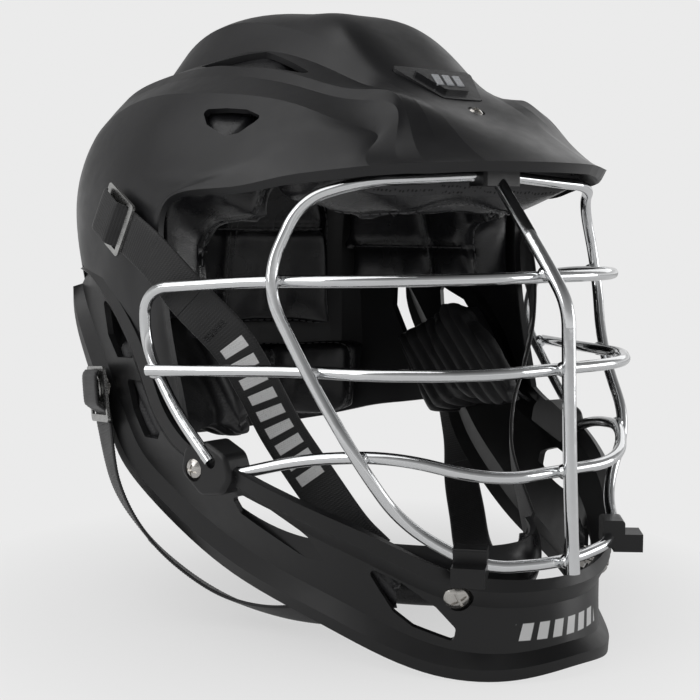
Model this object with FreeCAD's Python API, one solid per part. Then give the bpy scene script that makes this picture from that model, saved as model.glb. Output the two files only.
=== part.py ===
import FreeCAD, Part
import math
import os

# Lacrosse helmet: a moulded crown shell with a visor, a jaw guard that carries the chin,
# a welded wire cage, foam pads, and a chin cup on four press-stud straps.
# The origin is the centre of the wearer's head on its basic plane, -Y is the face,
# +X is the wearer's left, and every length is in millimetres.

V = FreeCAD.Vector

# Driving sizes of the crown shell
shell_half_width = 116.5
shell_reach = 153.0
crown_height = 153.0
shell_wall = 3.2
lip_depth = 4.2
lip_inset = 2.2

# Driving sizes of the jaw guard
guard_wall = 3.0
guard_seam_gap = 0.8

# Wire cage
heavy_wire = 6.0
light_wire = 5.2
weld_gap = 0.05
bend_share = 0.45
bead_radius = 3.4
bead_length = 5.0

# Head cavity inside the pads
head_shares = (0.704, 0.654, 0.856)
head_setback_share = 0.033
pad_clearance = 0.75

# Fasteners
screw_head_radius = 6.0
screw_head_height = 3.2
screw_shank_radius = 2.4
screw_clearance = 0.3
recess_arm = 3.6
recess_width = 1.1
recess_depth = 1.4
badge_screw_scale = 0.62

# Snap studs, sockets and strap plates
stud_base_radius = 5.5
stud_base_height = 1.6
stud_neck_radius = 2.6
stud_neck_height = 3.2
stud_bulb_radius = 3.1
socket_radius = 6.2
socket_height = 4.2
socket_wall = 1.1
socket_gap = 0.35
plate_thickness = 1.4
plate_along = 20.0
plate_across = 26.0
plate_bar = 3.5
plate_corner = 2.0
slot_reach = 4.6
strap_width = 21.0
strap_thickness = 1.6
webbing_gap = 0.4

cut_overrun = 12.0
small_gap = 0.4


# Shell feature lines, from the crown's centre line out to the lower edge.
# Each holds its stations from the visor lip back to the nape, as shares of
# shell_half_width, shell_reach and crown_height.
shell_line_shares = {
    "centre": [(0.000, -1.000, 0.451), (0.000, -0.876, 0.516), (0.000, -0.725, 0.588),
               (0.000, -0.516, 0.719), (0.000, -0.268, 0.902), (0.000, 0.000, 0.967),
               (0.000, 0.294, 1.000), (0.000, 0.575, 0.928), (0.000, 0.771, 0.725),
               (0.000, 0.863, 0.392), (0.000, 0.856, 0.000), (0.000, 0.797, -0.523)],
    "crown_flat": [(0.137, -0.987, 0.451), (0.137, -0.863, 0.516), (0.120, -0.719, 0.595),
                   (0.146, -0.516, 0.716), (0.172, -0.275, 0.895), (0.155, 0.000, 0.958),
                   (0.155, 0.294, 0.987), (0.163, 0.569, 0.915), (0.163, 0.758, 0.719),
                   (0.146, 0.853, 0.392), (0.146, 0.846, 0.000), (0.137, 0.791, -0.520)],
    "crest_edge": [(0.275, -0.951, 0.451), (0.258, -0.837, 0.516), (0.232, -0.696, 0.611),
                   (0.258, -0.510, 0.696), (0.300, -0.327, 0.804), (0.283, -0.033, 0.905),
                   (0.309, 0.261, 0.948), (0.318, 0.549, 0.876), (0.309, 0.725, 0.699),
                   (0.275, 0.833, 0.392), (0.275, 0.824, 0.000), (0.258, 0.771, -0.513)],
    "crest_foot": [(0.361, -0.918, 0.448), (0.343, -0.810, 0.510), (0.292, -0.680, 0.624),
                   (0.309, -0.516, 0.676), (0.343, -0.340, 0.739), (0.369, -0.020, 0.827),
                   (0.421, 0.248, 0.817), (0.446, 0.490, 0.778), (0.455, 0.667, 0.647),
                   (0.421, 0.791, 0.379), (0.412, 0.778, 0.000), (0.378, 0.725, -0.503)],
    "ridge_top": [(0.446, -0.879, 0.444), (0.421, -0.784, 0.503), (0.352, -0.660, 0.634),
                  (0.403, -0.523, 0.667), (0.472, -0.340, 0.712), (0.541, -0.098, 0.765),
                  (0.584, 0.131, 0.775), (0.592, 0.392, 0.758), (0.652, 0.588, 0.667),
                  (0.652, 0.712, 0.373), (0.635, 0.699, 0.000), (0.558, 0.654, -0.484)],
    "ridge_foot": [(0.515, -0.840, 0.444), (0.481, -0.758, 0.490), (0.395, -0.686, 0.601),
                   (0.438, -0.549, 0.634), (0.515, -0.359, 0.680), (0.592, -0.118, 0.729),
                   (0.644, 0.118, 0.739), (0.652, 0.379, 0.722), (0.712, 0.562, 0.634),
                   (0.721, 0.673, 0.359), (0.695, 0.667, 0.000), (0.618, 0.614, -0.471)],
    "side_crease": [(0.609, -0.768, 0.438), (0.567, -0.719, 0.477), (0.498, -0.699, 0.523),
                    (0.549, -0.627, 0.556), (0.618, -0.471, 0.614), (0.687, -0.248, 0.660),
                    (0.747, 0.000, 0.680), (0.773, 0.275, 0.673), (0.815, 0.510, 0.575),
                    (0.807, 0.641, 0.333), (0.773, 0.614, 0.000), (0.687, 0.549, -0.451)],
    "side_upper": [(0.695, -0.673, 0.428), (0.670, -0.647, 0.464), (0.652, -0.621, 0.503),
                   (0.695, -0.542, 0.529), (0.738, -0.405, 0.556), (0.790, -0.209, 0.575),
                   (0.841, 0.013, 0.588), (0.867, 0.261, 0.575), (0.884, 0.471, 0.497),
                   (0.876, 0.575, 0.307), (0.841, 0.536, 0.000), (0.764, 0.477, -0.431)],
    "side_middle": [(0.781, -0.536, 0.412), (0.773, -0.516, 0.444), (0.773, -0.484, 0.471),
                    (0.798, -0.425, 0.477), (0.833, -0.307, 0.484), (0.876, -0.144, 0.490),
                    (0.918, 0.052, 0.490), (0.936, 0.242, 0.471), (0.940, 0.412, 0.405),
                    (0.927, 0.490, 0.268), (0.893, 0.458, 0.000), (0.833, 0.399, -0.418)],
    "side_lower": [(0.867, -0.379, 0.386), (0.867, -0.353, 0.405), (0.876, -0.327, 0.418),
                   (0.901, -0.275, 0.418), (0.927, -0.183, 0.418), (0.953, -0.065, 0.418),
                   (0.970, 0.078, 0.405), (0.979, 0.216, 0.379), (0.979, 0.333, 0.320),
                   (0.966, 0.399, 0.203), (0.936, 0.373, -0.033), (0.884, 0.327, -0.405)],
    "brim_corner": [(0.961, -0.157, 0.353), (0.961, -0.144, 0.353), (0.966, -0.131, 0.346),
                    (0.970, -0.098, 0.340), (0.979, -0.046, 0.327), (0.987, 0.026, 0.314),
                    (0.996, 0.105, 0.294), (0.996, 0.190, 0.261), (0.991, 0.261, 0.196),
                    (0.979, 0.307, 0.078), (0.953, 0.288, -0.131), (0.918, 0.255, -0.392)],
    "cheek_upper": [(0.974, -0.124, 0.196), (0.974, -0.111, 0.196), (0.979, -0.092, 0.196),
                    (0.983, -0.052, 0.190), (0.987, 0.000, 0.176), (0.996, 0.059, 0.163),
                    (1.000, 0.118, 0.137), (1.000, 0.170, 0.098), (0.996, 0.209, 0.033),
                    (0.983, 0.235, -0.065), (0.961, 0.222, -0.209), (0.936, 0.196, -0.373)],
    "cheek_middle": [(0.970, -0.157, -0.026), (0.970, -0.144, -0.026), (0.974, -0.124, -0.026),
                     (0.979, -0.092, -0.033), (0.983, -0.039, -0.039), (0.987, 0.013, -0.052),
                     (0.987, 0.059, -0.072), (0.987, 0.098, -0.098), (0.983, 0.131, -0.137),
                     (0.970, 0.150, -0.190), (0.961, 0.150, -0.261), (0.944, 0.137, -0.346)],
    "cheek_lower": [(0.953, -0.235, -0.301), (0.953, -0.216, -0.304), (0.957, -0.196, -0.307),
                    (0.961, -0.163, -0.310), (0.961, -0.124, -0.314), (0.966, -0.085, -0.314),
                    (0.966, -0.046, -0.317), (0.966, -0.007, -0.317), (0.961, 0.026, -0.320),
                    (0.961, 0.052, -0.320), (0.953, 0.072, -0.324), (0.953, 0.085, -0.327)],
}
# Lines where the moulding has a hard edge, counted out from the centre line
shell_crease_lines = (2, 3, 4, 5, 6)
# How far the lip turns down at each line, as a share of lip_depth
lip_drop_shares = (1.0, 1.0, 1.0, 1.0, 1.0, 1.0, 1.0, 1.0, 0.9, 0.7, 0.4, 0.2, 0.2, 0.2)


# Upper and lower edges of the jaw guard's outer face, from its rear tip to the chin.
# Each holds its stations as shares of shell_half_width, shell_reach and crown_height.
guard_upper_shares = [(0.936, 0.431, 0.144), (0.991, 0.209, 0.108), (0.996, 0.039, -0.007),
                      (0.996, -0.072, -0.131), (0.991, -0.157, -0.261), (0.979, -0.294, -0.353),
                      (0.944, -0.431, -0.392), (0.893, -0.542, -0.431), (0.773, -0.699, -0.497),
                      (0.601, -0.837, -0.575), (0.403, -0.954, -0.657), (0.206, -1.033, -0.684),
                      (0.000, -1.064, -0.690)]
guard_lower_shares = [(0.931, 0.484, 0.065), (0.931, 0.471, -0.039), (0.931, 0.405, -0.157),
                      (0.931, 0.314, -0.281), (0.927, 0.248, -0.373), (0.910, 0.196, -0.464),
                      (0.867, 0.092, -0.562), (0.815, -0.065, -0.660), (0.738, -0.294, -0.765),
                      (0.618, -0.601, -0.856), (0.429, -0.882, -0.948), (0.223, -1.046, -0.954),
                      (0.000, -1.098, -0.935)]
# The guard's first stations, which lie over the shell
guard_over_shell = 7
# Height of the guard's moulded ledges between its upper and lower edge, and how far each swells
guard_row_shares = (0.0, 0.12, 0.30, 0.75, 0.88, 1.0)
guard_swell_shares = (0.0, 0.5, -0.7, -0.35, 1.0, 0.85)
guard_swell = 3.4

# Openings of the jaw guard, each drawn on its outer face
rear_vent_shares = [(-0.970, 0.276, 0.045), (-0.987, 0.157, -0.008), (-0.987, 0.078, -0.091),
                    (-0.987, 0.071, -0.132), (-0.970, 0.196, -0.140), (-0.961, 0.257, -0.073)]
lower_vent_shares = [(-0.970, 0.131, -0.204), (-0.979, 0.014, -0.199), (-0.970, -0.089, -0.328),
                     (-0.961, -0.051, -0.371), (-0.953, 0.037, -0.376), (-0.957, 0.099, -0.296)]
jaw_slot_shares = [(-0.893, -0.373, -0.510), (-0.879, -0.440, -0.487), (-0.851, -0.539, -0.515),
                   (-0.782, -0.616, -0.594), (-0.742, -0.655, -0.688), (-0.820, -0.575, -0.655),
                   (-0.890, -0.390, -0.556)]
chin_vent_shares = [(-0.627, -0.756, -0.658), (-0.549, -0.848, -0.703), (-0.464, -0.914, -0.766),
                    (-0.412, -0.952, -0.825), (-0.403, -0.938, -0.861), (-0.515, -0.860, -0.828),
                    (-0.567, -0.822, -0.791), (-0.601, -0.793, -0.731)]

# Openings of the crown shell, each drawn on its outer face
crest_vent_shares = [(0.378, -0.020, 0.822), (0.440, -0.345, 0.733), (0.555, -0.098, 0.765),
                     (0.575, 0.098, 0.771), (0.500, 0.230, 0.788)]
side_vent_shares = [(-0.773, -0.126, 0.620), (-0.798, -0.180, 0.572), (-0.798, -0.279, 0.532),
                    (-0.773, -0.328, 0.539), (-0.730, -0.362, 0.567), (-0.712, -0.374, 0.586),
                    (-0.704, -0.301, 0.603), (-0.738, -0.224, 0.618)]
vent_corner = 2.0

# Badge window on the front panel
badge_centre_share = (0.0, -0.556, 0.703)
badge_slope_deg = 34.4
badge_half_top = 25.0
badge_half_foot = 12.0
badge_half_rise = 14.0
badge_corner = 3.0
badge_sink = 0.8
badge_panel_share = 0.62
badge_screw_share = (0.0, -0.6915, 0.6183)

# Wire paths, as shares of shell_half_width, shell_reach and crown_height
frame_wire_shares = [(0.067, -0.728, 0.420), (0.568, -0.693, 0.398), (0.711, -0.567, 0.348),
                     (0.843, -0.537, 0.124), (0.747, -0.631, -0.121), (0.683, -0.786, -0.347),
                     (0.520, -0.814, -0.530), (0.348, -0.977, -0.640), (0.000, -1.030, -0.654)]
centre_bar_shares = [(0.0, -0.728, 0.423), (0.0, -0.945, 0.165), (0.0, -1.023, 0.060),
                     (0.0, -1.029, -0.150), (0.0, -1.039, -0.420), (0.0, -1.056, -0.680)]
upper_bar_shares = [(0.0, -0.957, 0.135), (0.345, -0.957, 0.135), (0.695, -0.765, 0.130),
                    (0.840, -0.500, 0.125), (1.052, -0.140, 0.095), (1.030, -0.110, -0.075),
                    (1.012, -0.265, -0.260), (0.975, -0.400, -0.385)]
middle_bar_shares = [(0.0, -1.028, -0.116), (0.370, -1.028, -0.116), (0.665, -0.815, -0.118),
                     (0.745, -0.620, -0.121), (1.027, -0.168, -0.140)]
lower_bar_shares = [(0.0, -1.038, -0.414), (0.330, -1.038, -0.400), (0.600, -0.860, -0.335),
                    (0.765, -0.640, -0.360), (0.905, -0.455, -0.417)]
clip_station_share = (0.375, -0.982, -0.631)
clip_corner = -2

# Jaw bosses and screws
boss_shares = [(0.985, -0.285, -0.350), (0.960, -0.375, -0.330), (0.940, -0.450, -0.362),
               (0.935, -0.475, -0.425), (0.945, -0.440, -0.475), (0.965, -0.350, -0.490),
               (0.985, -0.265, -0.430)]
boss_corner = 6.0
boss_round = 2.2
boss_depth = 11.0
boss_stand = 2.4
jaw_screw_share = (0.975, -0.325, -0.415)
jaw_screw_axis = (0.96, -0.22, -0.16)
jaw_screw_scale = 0.8
chin_screw_share = (0.401, -0.967, -0.740)
chin_screw_axis = (0.48, -0.83, -0.30)

# Chin clips
clip_length = 14.0
clip_half_depth = 5.0
clip_half_height = 6.2
clip_round = 1.6
clip_tab_length = 23.0
clip_tab_thickness = 3.0
clip_bridge = 8.0

# Pads
jaw_pad_depth_share = 0.1634
jaw_pad_inner_share = 0.6867
jaw_pad_outer_share = 0.7811
jaw_pad_corner = 4.0
jaw_pad_shares = [(0.080, 0.033), (-0.183, -0.118), (-0.281, -0.229), (-0.327, -0.340),
                  (-0.176, -0.373), (-0.059, -0.353), (0.124, -0.183)]
jaw_pad_stations = (19, 22)
jaw_pad_rows = (1, 4)
chin_pad_start_share = 0.47
chin_pad_end_share = -0.67
chin_pad_thickness = 7.0
chin_pad_stations = (14, 17)
chin_pad_rows = (2, 4)
strap_room = 2.0
strap_block_count = 4
visor_clip_width = 22.0
visor_clip_depth = 11.0
visor_clip_drop = 5.0
visor_clip_rise = 16.8
nut_radius = 5.0
nut_height = 3.0

# Pad outlines, each a band across the liner, as shares of the three driving sizes
side_start_share = -0.28
side_end_share = 0.47
rear_start_share = 0.51
brow_share = 0.66
brow_outline_shares = [(-0.680, 0.400), (-0.672, 0.580), (-0.450, 0.850), (-0.315, 0.900),
                       (-0.315, 0.400), (-0.500, 0.260), (-0.620, 0.285)]
crown_outline_shares = [(0.0, 0.400), (0.430, 0.520), (0.660, 0.690), (0.660, 1.050),
                        (-0.660, 1.050), (-0.660, 0.690), (-0.430, 0.520)]
side_outline_shares = [(0.480, 0.480), (0.715, 0.690), (1.100, 0.690), (1.100, 0.045),
                       (0.480, 0.045)]
rear_outline_shares = [(0.520, 0.800), (-0.520, 0.800), (-0.520, -0.120), (0.520, -0.120)]
nape_outline_shares = [(0.700, -0.165), (-0.700, -0.165), (-0.600, -0.480), (0.600, -0.480)]
side_room_share = 0.885

# Snap positions: where each stud stands, and the way its strap leaves it
upper_snap_share = (1.0, 0.088, 0.302)
upper_snap_axis = (0.99, -0.02, 0.12)
upper_strap_way = (0.0, -0.889, -0.457)
lower_snap_share = (1.0, 0.265, -0.242)
lower_snap_axis = (0.985, 0.15, -0.05)
lower_strap_way = (0.0, -0.10, -0.995)

# Strap centre lines from the buckle to the chin cup, then the way each faces
upper_strap_shares = [(0.995, -0.120, 0.185), (0.925, -0.225, 0.070),
                      (0.810, -0.315, -0.060), (0.720, -0.350, -0.190), (0.625, -0.370, -0.330),
                      (0.530, -0.440, -0.480), (0.465, -0.540, -0.610), (0.412, -0.615, -0.680)]
upper_strap_facing = [(0.97, -0.2, 0.1), (0.88, -0.45, 0.1),
                      (0.82, -0.56, 0.05), (0.78, -0.62, 0.0), (0.74, -0.67, 0.0),
                      (0.70, -0.72, 0.0), (0.80, -0.60, 0.0), (0.88, -0.47, 0.0)]
lower_strap_shares = [(0.965, 0.190, -0.540), (0.900, 0.120, -0.680),
                      (0.810, 0.010, -0.790), (0.690, -0.120, -0.875), (0.575, -0.270, -0.905),
                      (0.480, -0.430, -0.885), (0.430, -0.560, -0.830), (0.412, -0.615, -0.785)]
lower_strap_facing = [(0.92, 0.2, -0.33), (0.75, 0.2, -0.62),
                      (0.55, 0.1, -0.82), (0.45, 0.0, -0.89), (0.45, -0.2, -0.87),
                      (0.60, -0.35, -0.70), (0.80, -0.45, -0.40), (0.88, -0.46, -0.10)]

# Chin cup
cup_half_width = 47.0
cup_wall = 2.6
cup_pad_thickness = 7.0
cup_wrap = 37.0
cup_front_share = -0.880
cup_row_shares = [(0.026, -0.640), (0.0, -0.695), (0.004, -0.755), (0.032, -0.805),
                  (0.100, -0.826)]
cup_columns = 4
cup_narrow_shares = (0.94, 1.0, 1.0, 0.96, 0.72)


def placed(shares):
    """A point from its shares of the shell's three driving sizes."""
    return V(shares[0] * shell_half_width, shares[1] * shell_reach, shares[2] * crown_height)


def mirrored(point):
    return V(-point.x, point.y, point.z)


def flipped(shape):
    """The same shape on the other side of the helmet."""
    return shape.mirror(V(0, 0, 0), V(1, 0, 0))


def turned_to(shape, base, direction):
    """Move a shape made on +Z at the origin so that it stands at base along direction."""
    copy = shape.copy()
    copy.Placement = FreeCAD.Placement(base, FreeCAD.Rotation(V(0, 0, 1), direction))
    return copy


def spread(rows):
    """Parameter of each station, from the mean distance between the stations."""
    steps = []
    for left in range(len(rows[0]) - 1):
        steps.append(sum((row[left + 1] - row[left]).Length for row in rows) / len(rows))
    total = sum(steps)
    values = [0.0]
    for step in steps:
        values.append(values[-1] + step / total)
    values[-1] = 1.0
    return values


def curve_through(points, parameters):
    curve = Part.BSplineCurve()
    curve.interpolate(Points=points, Parameters=parameters)
    return curve


def net_face(rows, along, across):
    """A spline face through a net of points: rows run across, their stations run along."""
    row_curves = [curve_through(row, along) for row in rows]
    row_poles = [curve.getPoles() for curve in row_curves]
    column_curves = []
    for index in range(len(row_poles[0])):
        column_curves.append(curve_through([poles[index] for poles in row_poles], across))
    first = column_curves[0]
    count = len(first.getPoles())
    poles = [[column.getPoles()[index] for column in column_curves] for index in range(count)]
    surface = Part.BSplineSurface()
    surface.buildFromPolesMultsKnots(
        poles, first.getMultiplicities(), row_curves[0].getMultiplicities(),
        first.getKnots(), row_curves[0].getKnots(), False, False,
        first.Degree, row_curves[0].Degree)
    return surface.toShape()


def parts_of(values, first, last):
    """A stretch of parameters, moved to run from 0 to 1."""
    low = values[first]
    high = values[last]
    return [(value - low) / (high - low) for value in values[first:last + 1]]


def sheet_solid(outer, inner, splits=None):
    """A closed wall between two nets of points that have the same layout."""
    last = len(outer) - 1
    breaks = [0] + [split for split in (splits or []) if 0 < split < last] + [last]
    along = spread(outer)
    across = spread([list(column) for column in zip(*outer)])
    ends = [0.0, 1.0]
    faces = []
    for low, high in zip(breaks, breaks[1:]):
        stretch = parts_of(across, low, high)
        for rows in (outer, inner):
            faces.append(net_face(rows[low:high + 1], along, stretch))
        for station in (0, -1):
            outer_edge = [row[station] for row in outer[low:high + 1]]
            inner_edge = [row[station] for row in inner[low:high + 1]]
            faces.append(net_face([outer_edge, inner_edge], stretch, ends))
    for row in (0, -1):
        faces.append(net_face([outer[row], inner[row]], along, ends))
    shell = Part.makeShell(faces)
    shell.sewShape()
    solid = Part.Solid(Part.Shell(shell.Faces))
    if solid.Volume < 0:
        solid.reverse()
    return solid


def normals_of(rows, centre):
    """Unit normals of a net of points, all pointing away from a centre point."""
    result = []
    last_row = len(rows) - 1
    last_station = len(rows[0]) - 1
    for index, row in enumerate(rows):
        line = []
        for station, point in enumerate(row):
            ahead = row[min(station + 1, last_station)] - row[max(station - 1, 0)]
            beside = rows[min(index + 1, last_row)][station] - rows[max(index - 1, 0)][station]
            normal = ahead.cross(beside)
            normal.normalize()
            if normal.dot(point - centre) < 0:
                normal = normal * -1
            line.append(normal)
        result.append(line)
    return result


def moved_in(rows, normals, distance):
    """A net of points moved inward along its normals."""
    moved = []
    for row, line in zip(rows, normals):
        moved.append([point - normal * distance for point, normal in zip(row, line)])
    return moved


def both_sides(lines):
    """Lines of one side, from the centre out, joined with their mirror image."""
    right = [[mirrored(point) for point in line] for line in reversed(lines[1:])]
    return right + lines


def prism(points, direction, before, after):
    """A straight block through a flat outline, from before its plane to after it."""
    heading = V(direction)
    heading.normalize()
    centre = V(0, 0, 0)
    for point in points:
        centre = centre + point
    centre = centre / len(points)
    flat = [point - heading * (point - centre).dot(heading) for point in points]
    base = [point - heading * before for point in flat]
    face = Part.Face(Part.makePolygon(base + [base[0]]))
    return face.extrude(heading * (before + after))


def rounded_prism(points, direction, before, after, radius):
    """The same block with its corners rounded."""
    block = prism(points, direction, before, after)
    heading = V(direction)
    heading.normalize()
    edges = []
    for edge in block.Edges:
        run = edge.Vertexes[1].Point - edge.Vertexes[0].Point
        run.normalize()
        if abs(run.dot(heading)) > 0.999:
            edges.append(edge)
    return block.makeFillet(radius, edges)


def route(points):
    """Straight runs joined by tangent arcs that are as large as they fit."""
    edges = []
    start = points[0]
    for index in range(1, len(points) - 1):
        before = points[index] - points[index - 1]
        after = points[index + 1] - points[index]
        turn = before.getAngle(after)
        setback = bend_share * min(before.Length, after.Length)
        radius = setback / math.tan(turn / 2)
        before.normalize()
        after.normalize()
        into = points[index] - before * setback
        out = points[index] + after * setback
        inward = after - before
        inward.normalize()
        middle = points[index] + inward * (radius / math.cos(turn / 2) - radius)
        edges.append(Part.LineSegment(start, into).toShape())
        edges.append(Part.Arc(into, middle, out).toShape())
        start = out
    edges.append(Part.LineSegment(start, points[-1]).toShape())
    return Part.Wire(edges)


def tube(points, diameter):
    """A round wire along a route."""
    heading = points[1] - points[0]
    section = Part.Wire([Part.makeCircle(diameter / 2, points[0], heading)])
    return route(points).makePipeShell([section], True, True)


def ball_end(point, diameter):
    return Part.makeSphere(diameter / 2, point)


def crown_lines():
    """The outer surface's lines, from the wearer's right edge to the left."""
    lines = [[placed(shares) for shares in line] for line in shell_line_shares.values()]
    return both_sides(lines)


def crown_wall():
    """The shell's wall before its openings are cut."""
    outer = crown_lines()
    normals = normals_of(outer, V(0, 0, 0))
    inner = moved_in(outer, normals, shell_wall)
    drops = list(reversed(lip_drop_shares[1:])) + list(lip_drop_shares)
    for row, drop in enumerate(drops):
        front = outer[row][0]
        heading = V(front.x, front.y, 0)
        heading.normalize()
        inset = lip_inset * drop + shell_wall * (1 - drop)
        inner[row][0] = front - heading * inset - V(0, 0, lip_depth * drop)
    centre_row = len(drops) // 2
    splits = []
    for line in shell_crease_lines:
        splits.append(centre_row - line)
        splits.append(centre_row + line)
    return sheet_solid(outer, inner, sorted(splits))


def average_normal(points):
    """Unit normal of a nearly flat outline."""
    normal = V(0, 0, 0)
    for index, point in enumerate(points):
        normal = normal + point.cross(points[(index + 1) % len(points)])
    normal.normalize()
    return normal


def opening_cutter(shares, radius):
    """A rounded block through a wall at an outline drawn on its outer face."""
    points = [placed(share) for share in shares]
    return rounded_prism(points, average_normal(points), cut_overrun, cut_overrun, radius)


def with_mirror(shape):
    return [shape, flipped(shape)]


def guard_lines():
    """The jaw guard's outer surface, edge to edge, from the wearer's right round to the left."""
    upper = [placed(share) for share in guard_upper_shares]
    lower = [placed(share) for share in guard_lower_shares]
    upper = [mirrored(point) for point in upper[:-1]] + list(reversed(upper))
    lower = [mirrored(point) for point in lower[:-1]] + list(reversed(lower))
    flat = []
    for share in guard_row_shares:
        flat.append([top + (foot - top) * share for top, foot in zip(upper, lower)])
    normals = normals_of(flat, V(0, 0, -guard_swell))
    rows = []
    for row, line, swell in zip(flat, normals, guard_swell_shares):
        rows.append([point + normal * guard_swell * swell for point, normal in zip(row, line)])
    return rows


def guard_wall_between(outward, inward):
    """The guard's wall, or a thicker one that keeps other pieces clear of it."""
    rows = guard_lines()
    normals = normals_of(rows, V(0, 0, -guard_swell))
    outer = moved_in(rows, normals, -outward)
    inner = moved_in(rows, normals, inward)
    return sheet_solid(outer, inner, list(range(1, len(outer) - 1)))


def guard_footprint(margin):
    """Blocks over both sides of the helmet where the guard takes the shell's place."""
    upper = [placed(share) for share in guard_upper_shares[:guard_over_shell]]
    lower = [placed(share) for share in guard_lower_shares[:guard_over_shell]]
    outline = [V(0, point.y, point.z) for point in upper + list(reversed(lower))]
    face = Part.Face(Part.makePolygon(outline + [outline[0]]))
    grown = face.makeOffset2D(margin, 2)
    block = grown.extrude(V(shell_half_width, 0, 0))
    block.translate(V(shell_half_width / 2, 0, 0))
    return with_mirror(block)


def badge_frame():
    """Centre, up-slope direction and outward direction of the badge window."""
    slope = math.radians(badge_slope_deg)
    rise = V(0, math.cos(slope), math.sin(slope))
    outward = V(0, -math.sin(slope), math.cos(slope))
    return placed(badge_centre_share), rise, outward


def badge_block(shrink, scale, before, after):
    """A rounded block on the badge window's outline, smaller by shrink all round."""
    centre, rise, outward = badge_frame()
    top = badge_half_top * scale - shrink
    foot = badge_half_foot * scale - shrink
    reach = badge_half_rise * scale - shrink
    side = V(1, 0, 0)
    points = [centre + rise * reach + side * top, centre + rise * reach - side * top,
              centre - rise * reach - side * foot, centre - rise * reach + side * foot]
    return rounded_prism(points, outward, before, after, badge_corner * scale - shrink)


def screw(scale=1.0):
    """A domed cross-recess screw on +Z with the underside of its head at the origin."""
    radius = screw_head_radius * scale
    height = screw_head_height * scale
    sphere = (radius * radius + height * height) / (2 * height)
    dome = Part.makeSphere(sphere, V(0, 0, height - sphere))
    head = dome.common(Part.makeCylinder(radius, height))
    arm = recess_arm * scale
    width = recess_width * scale
    depth = recess_depth * scale
    for angle in (0, 90):
        slot = Part.makeBox(2 * arm, width, 2 * depth, V(-arm, -width / 2, height - depth))
        slot.rotate(V(0, 0, 0), V(0, 0, 1), angle)
        head = head.cut(slot)
    return head


def shank(radius, length):
    return Part.makeCylinder(radius, length, V(0, 0, -length))


def outer_hit(wall, point, outward, reach):
    """The point where a line from outside first meets a wall."""
    line = Part.makeLine(point + outward * reach, point - outward * reach)
    inside = wall.common(line)
    best = max(inside.Vertexes, key=lambda vertex: vertex.Point.dot(outward))
    return best.Point


def unit(values):
    vector = V(*values)
    vector.normalize()
    return vector


def snap_frame(share, axis, way, wall):
    """Placement with Z along the snap's axis and X along its strap."""
    outward = unit(axis)
    base = outer_hit(wall, placed(share), outward, cut_overrun)
    along = unit(way)
    across = outward.cross(along)
    across.normalize()
    along = across.cross(outward)
    return FreeCAD.Placement(base, FreeCAD.Rotation(along, across, outward, "ZXY"))


def stood(shape, placement):
    copy = shape.copy()
    copy.Placement = placement
    return copy


def snap_stud():
    """Base, neck and bulb of a press stud, with its rivet through the wall below."""
    base = Part.makeCylinder(stud_base_radius, stud_base_height, V(0, 0, small_gap / 2))
    neck = Part.makeCylinder(stud_neck_radius, stud_neck_height + stud_base_height)
    bulb = Part.makeCylinder(stud_bulb_radius, stud_base_height,
                             V(0, 0, stud_neck_height + small_gap))
    rivet = shank(stud_neck_radius - screw_clearance, guard_wall - small_gap)
    return base.fuse([neck, bulb, rivet]).removeSplitter()


def stud_seat():
    """What is cut from a wall for a stud: its rivet's hole and a flat under its base."""
    flat = Part.makeCylinder(stud_base_radius + screw_clearance, plate_foot(), V(0, 0, -small_gap / 2))
    return flat.fuse(shank(stud_neck_radius, 2 * guard_wall + small_gap))


def snap_cap():
    """The socket that presses over the stud, with a flange that holds the plate."""
    foot = stud_base_height + 2 * small_gap
    top = stud_neck_height + stud_base_height + socket_gap + small_gap
    barrel_height = plate_foot() + plate_thickness + socket_gap - foot
    barrel = Part.makeCylinder(socket_radius - socket_wall, barrel_height, V(0, 0, foot))
    flange = Part.makeCylinder(socket_radius + socket_wall, top + socket_wall - foot - barrel_height,
                               V(0, 0, foot + barrel_height))
    crown = flange.makeFillet(socket_wall, [flange.Edges[0]])
    hollow = Part.makeCylinder(stud_bulb_radius + socket_gap, top)
    return barrel.fuse(crown).removeSplitter().cut(hollow)


def plate_foot():
    """Height of the plate's underside above the stud's seat."""
    return stud_base_height + strap_thickness + webbing_gap


def plate_rear():
    return -socket_radius - socket_wall - plate_bar


def plate_front():
    return plate_along - plate_bar


def buckle():
    """The steel plate with a round hole for the cap and a slot for the webbing."""
    rear = plate_rear()
    front = plate_front()
    foot = plate_foot()
    plate = Part.makeBox(front - rear, plate_across, plate_thickness,
                         V(rear, -plate_across / 2, foot))
    corners = [edge for edge in plate.Edges if abs(edge.tangentAt(0).z) > 0.5]
    plate = plate.makeFillet(plate_corner, corners)
    hole = Part.makeCylinder(socket_radius - socket_wall + socket_gap, foot + 2 * plate_thickness)
    slot = Part.makeBox(slot_reach, strap_width + 2 * webbing_gap, foot,
                        V(front - plate_bar - slot_reach, -strap_width / 2 - webbing_gap,
                          foot - plate_thickness))
    return plate.cut(hole).cut(slot)


def fold_line():
    """The fold's middle line: over the cap, down through the slot, under the front bar."""
    front = plate_front()
    foot = plate_foot()
    slot_front = front - plate_bar
    slot_rear = slot_front - slot_reach
    cover = stud_neck_height + stud_base_height + strap_thickness + 2 * webbing_gap + socket_wall
    under = foot - strap_thickness / 2 - 2 * webbing_gap
    half = strap_thickness / 2
    return [V(-socket_radius - strap_thickness - socket_wall, 0, cover - strap_thickness - small_gap),
            V(-socket_radius - webbing_gap, 0, cover - small_gap), V(0, 0, cover),
            V(socket_radius, 0, cover), V(slot_rear - webbing_gap, 0, cover - half),
            V(slot_rear + slot_reach / 2, 0, foot + plate_thickness / 2),
            V(slot_front - half, 0, under + webbing_gap), V(slot_front + half, 0, under),
            V(front + strap_thickness, 0, under)]


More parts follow.
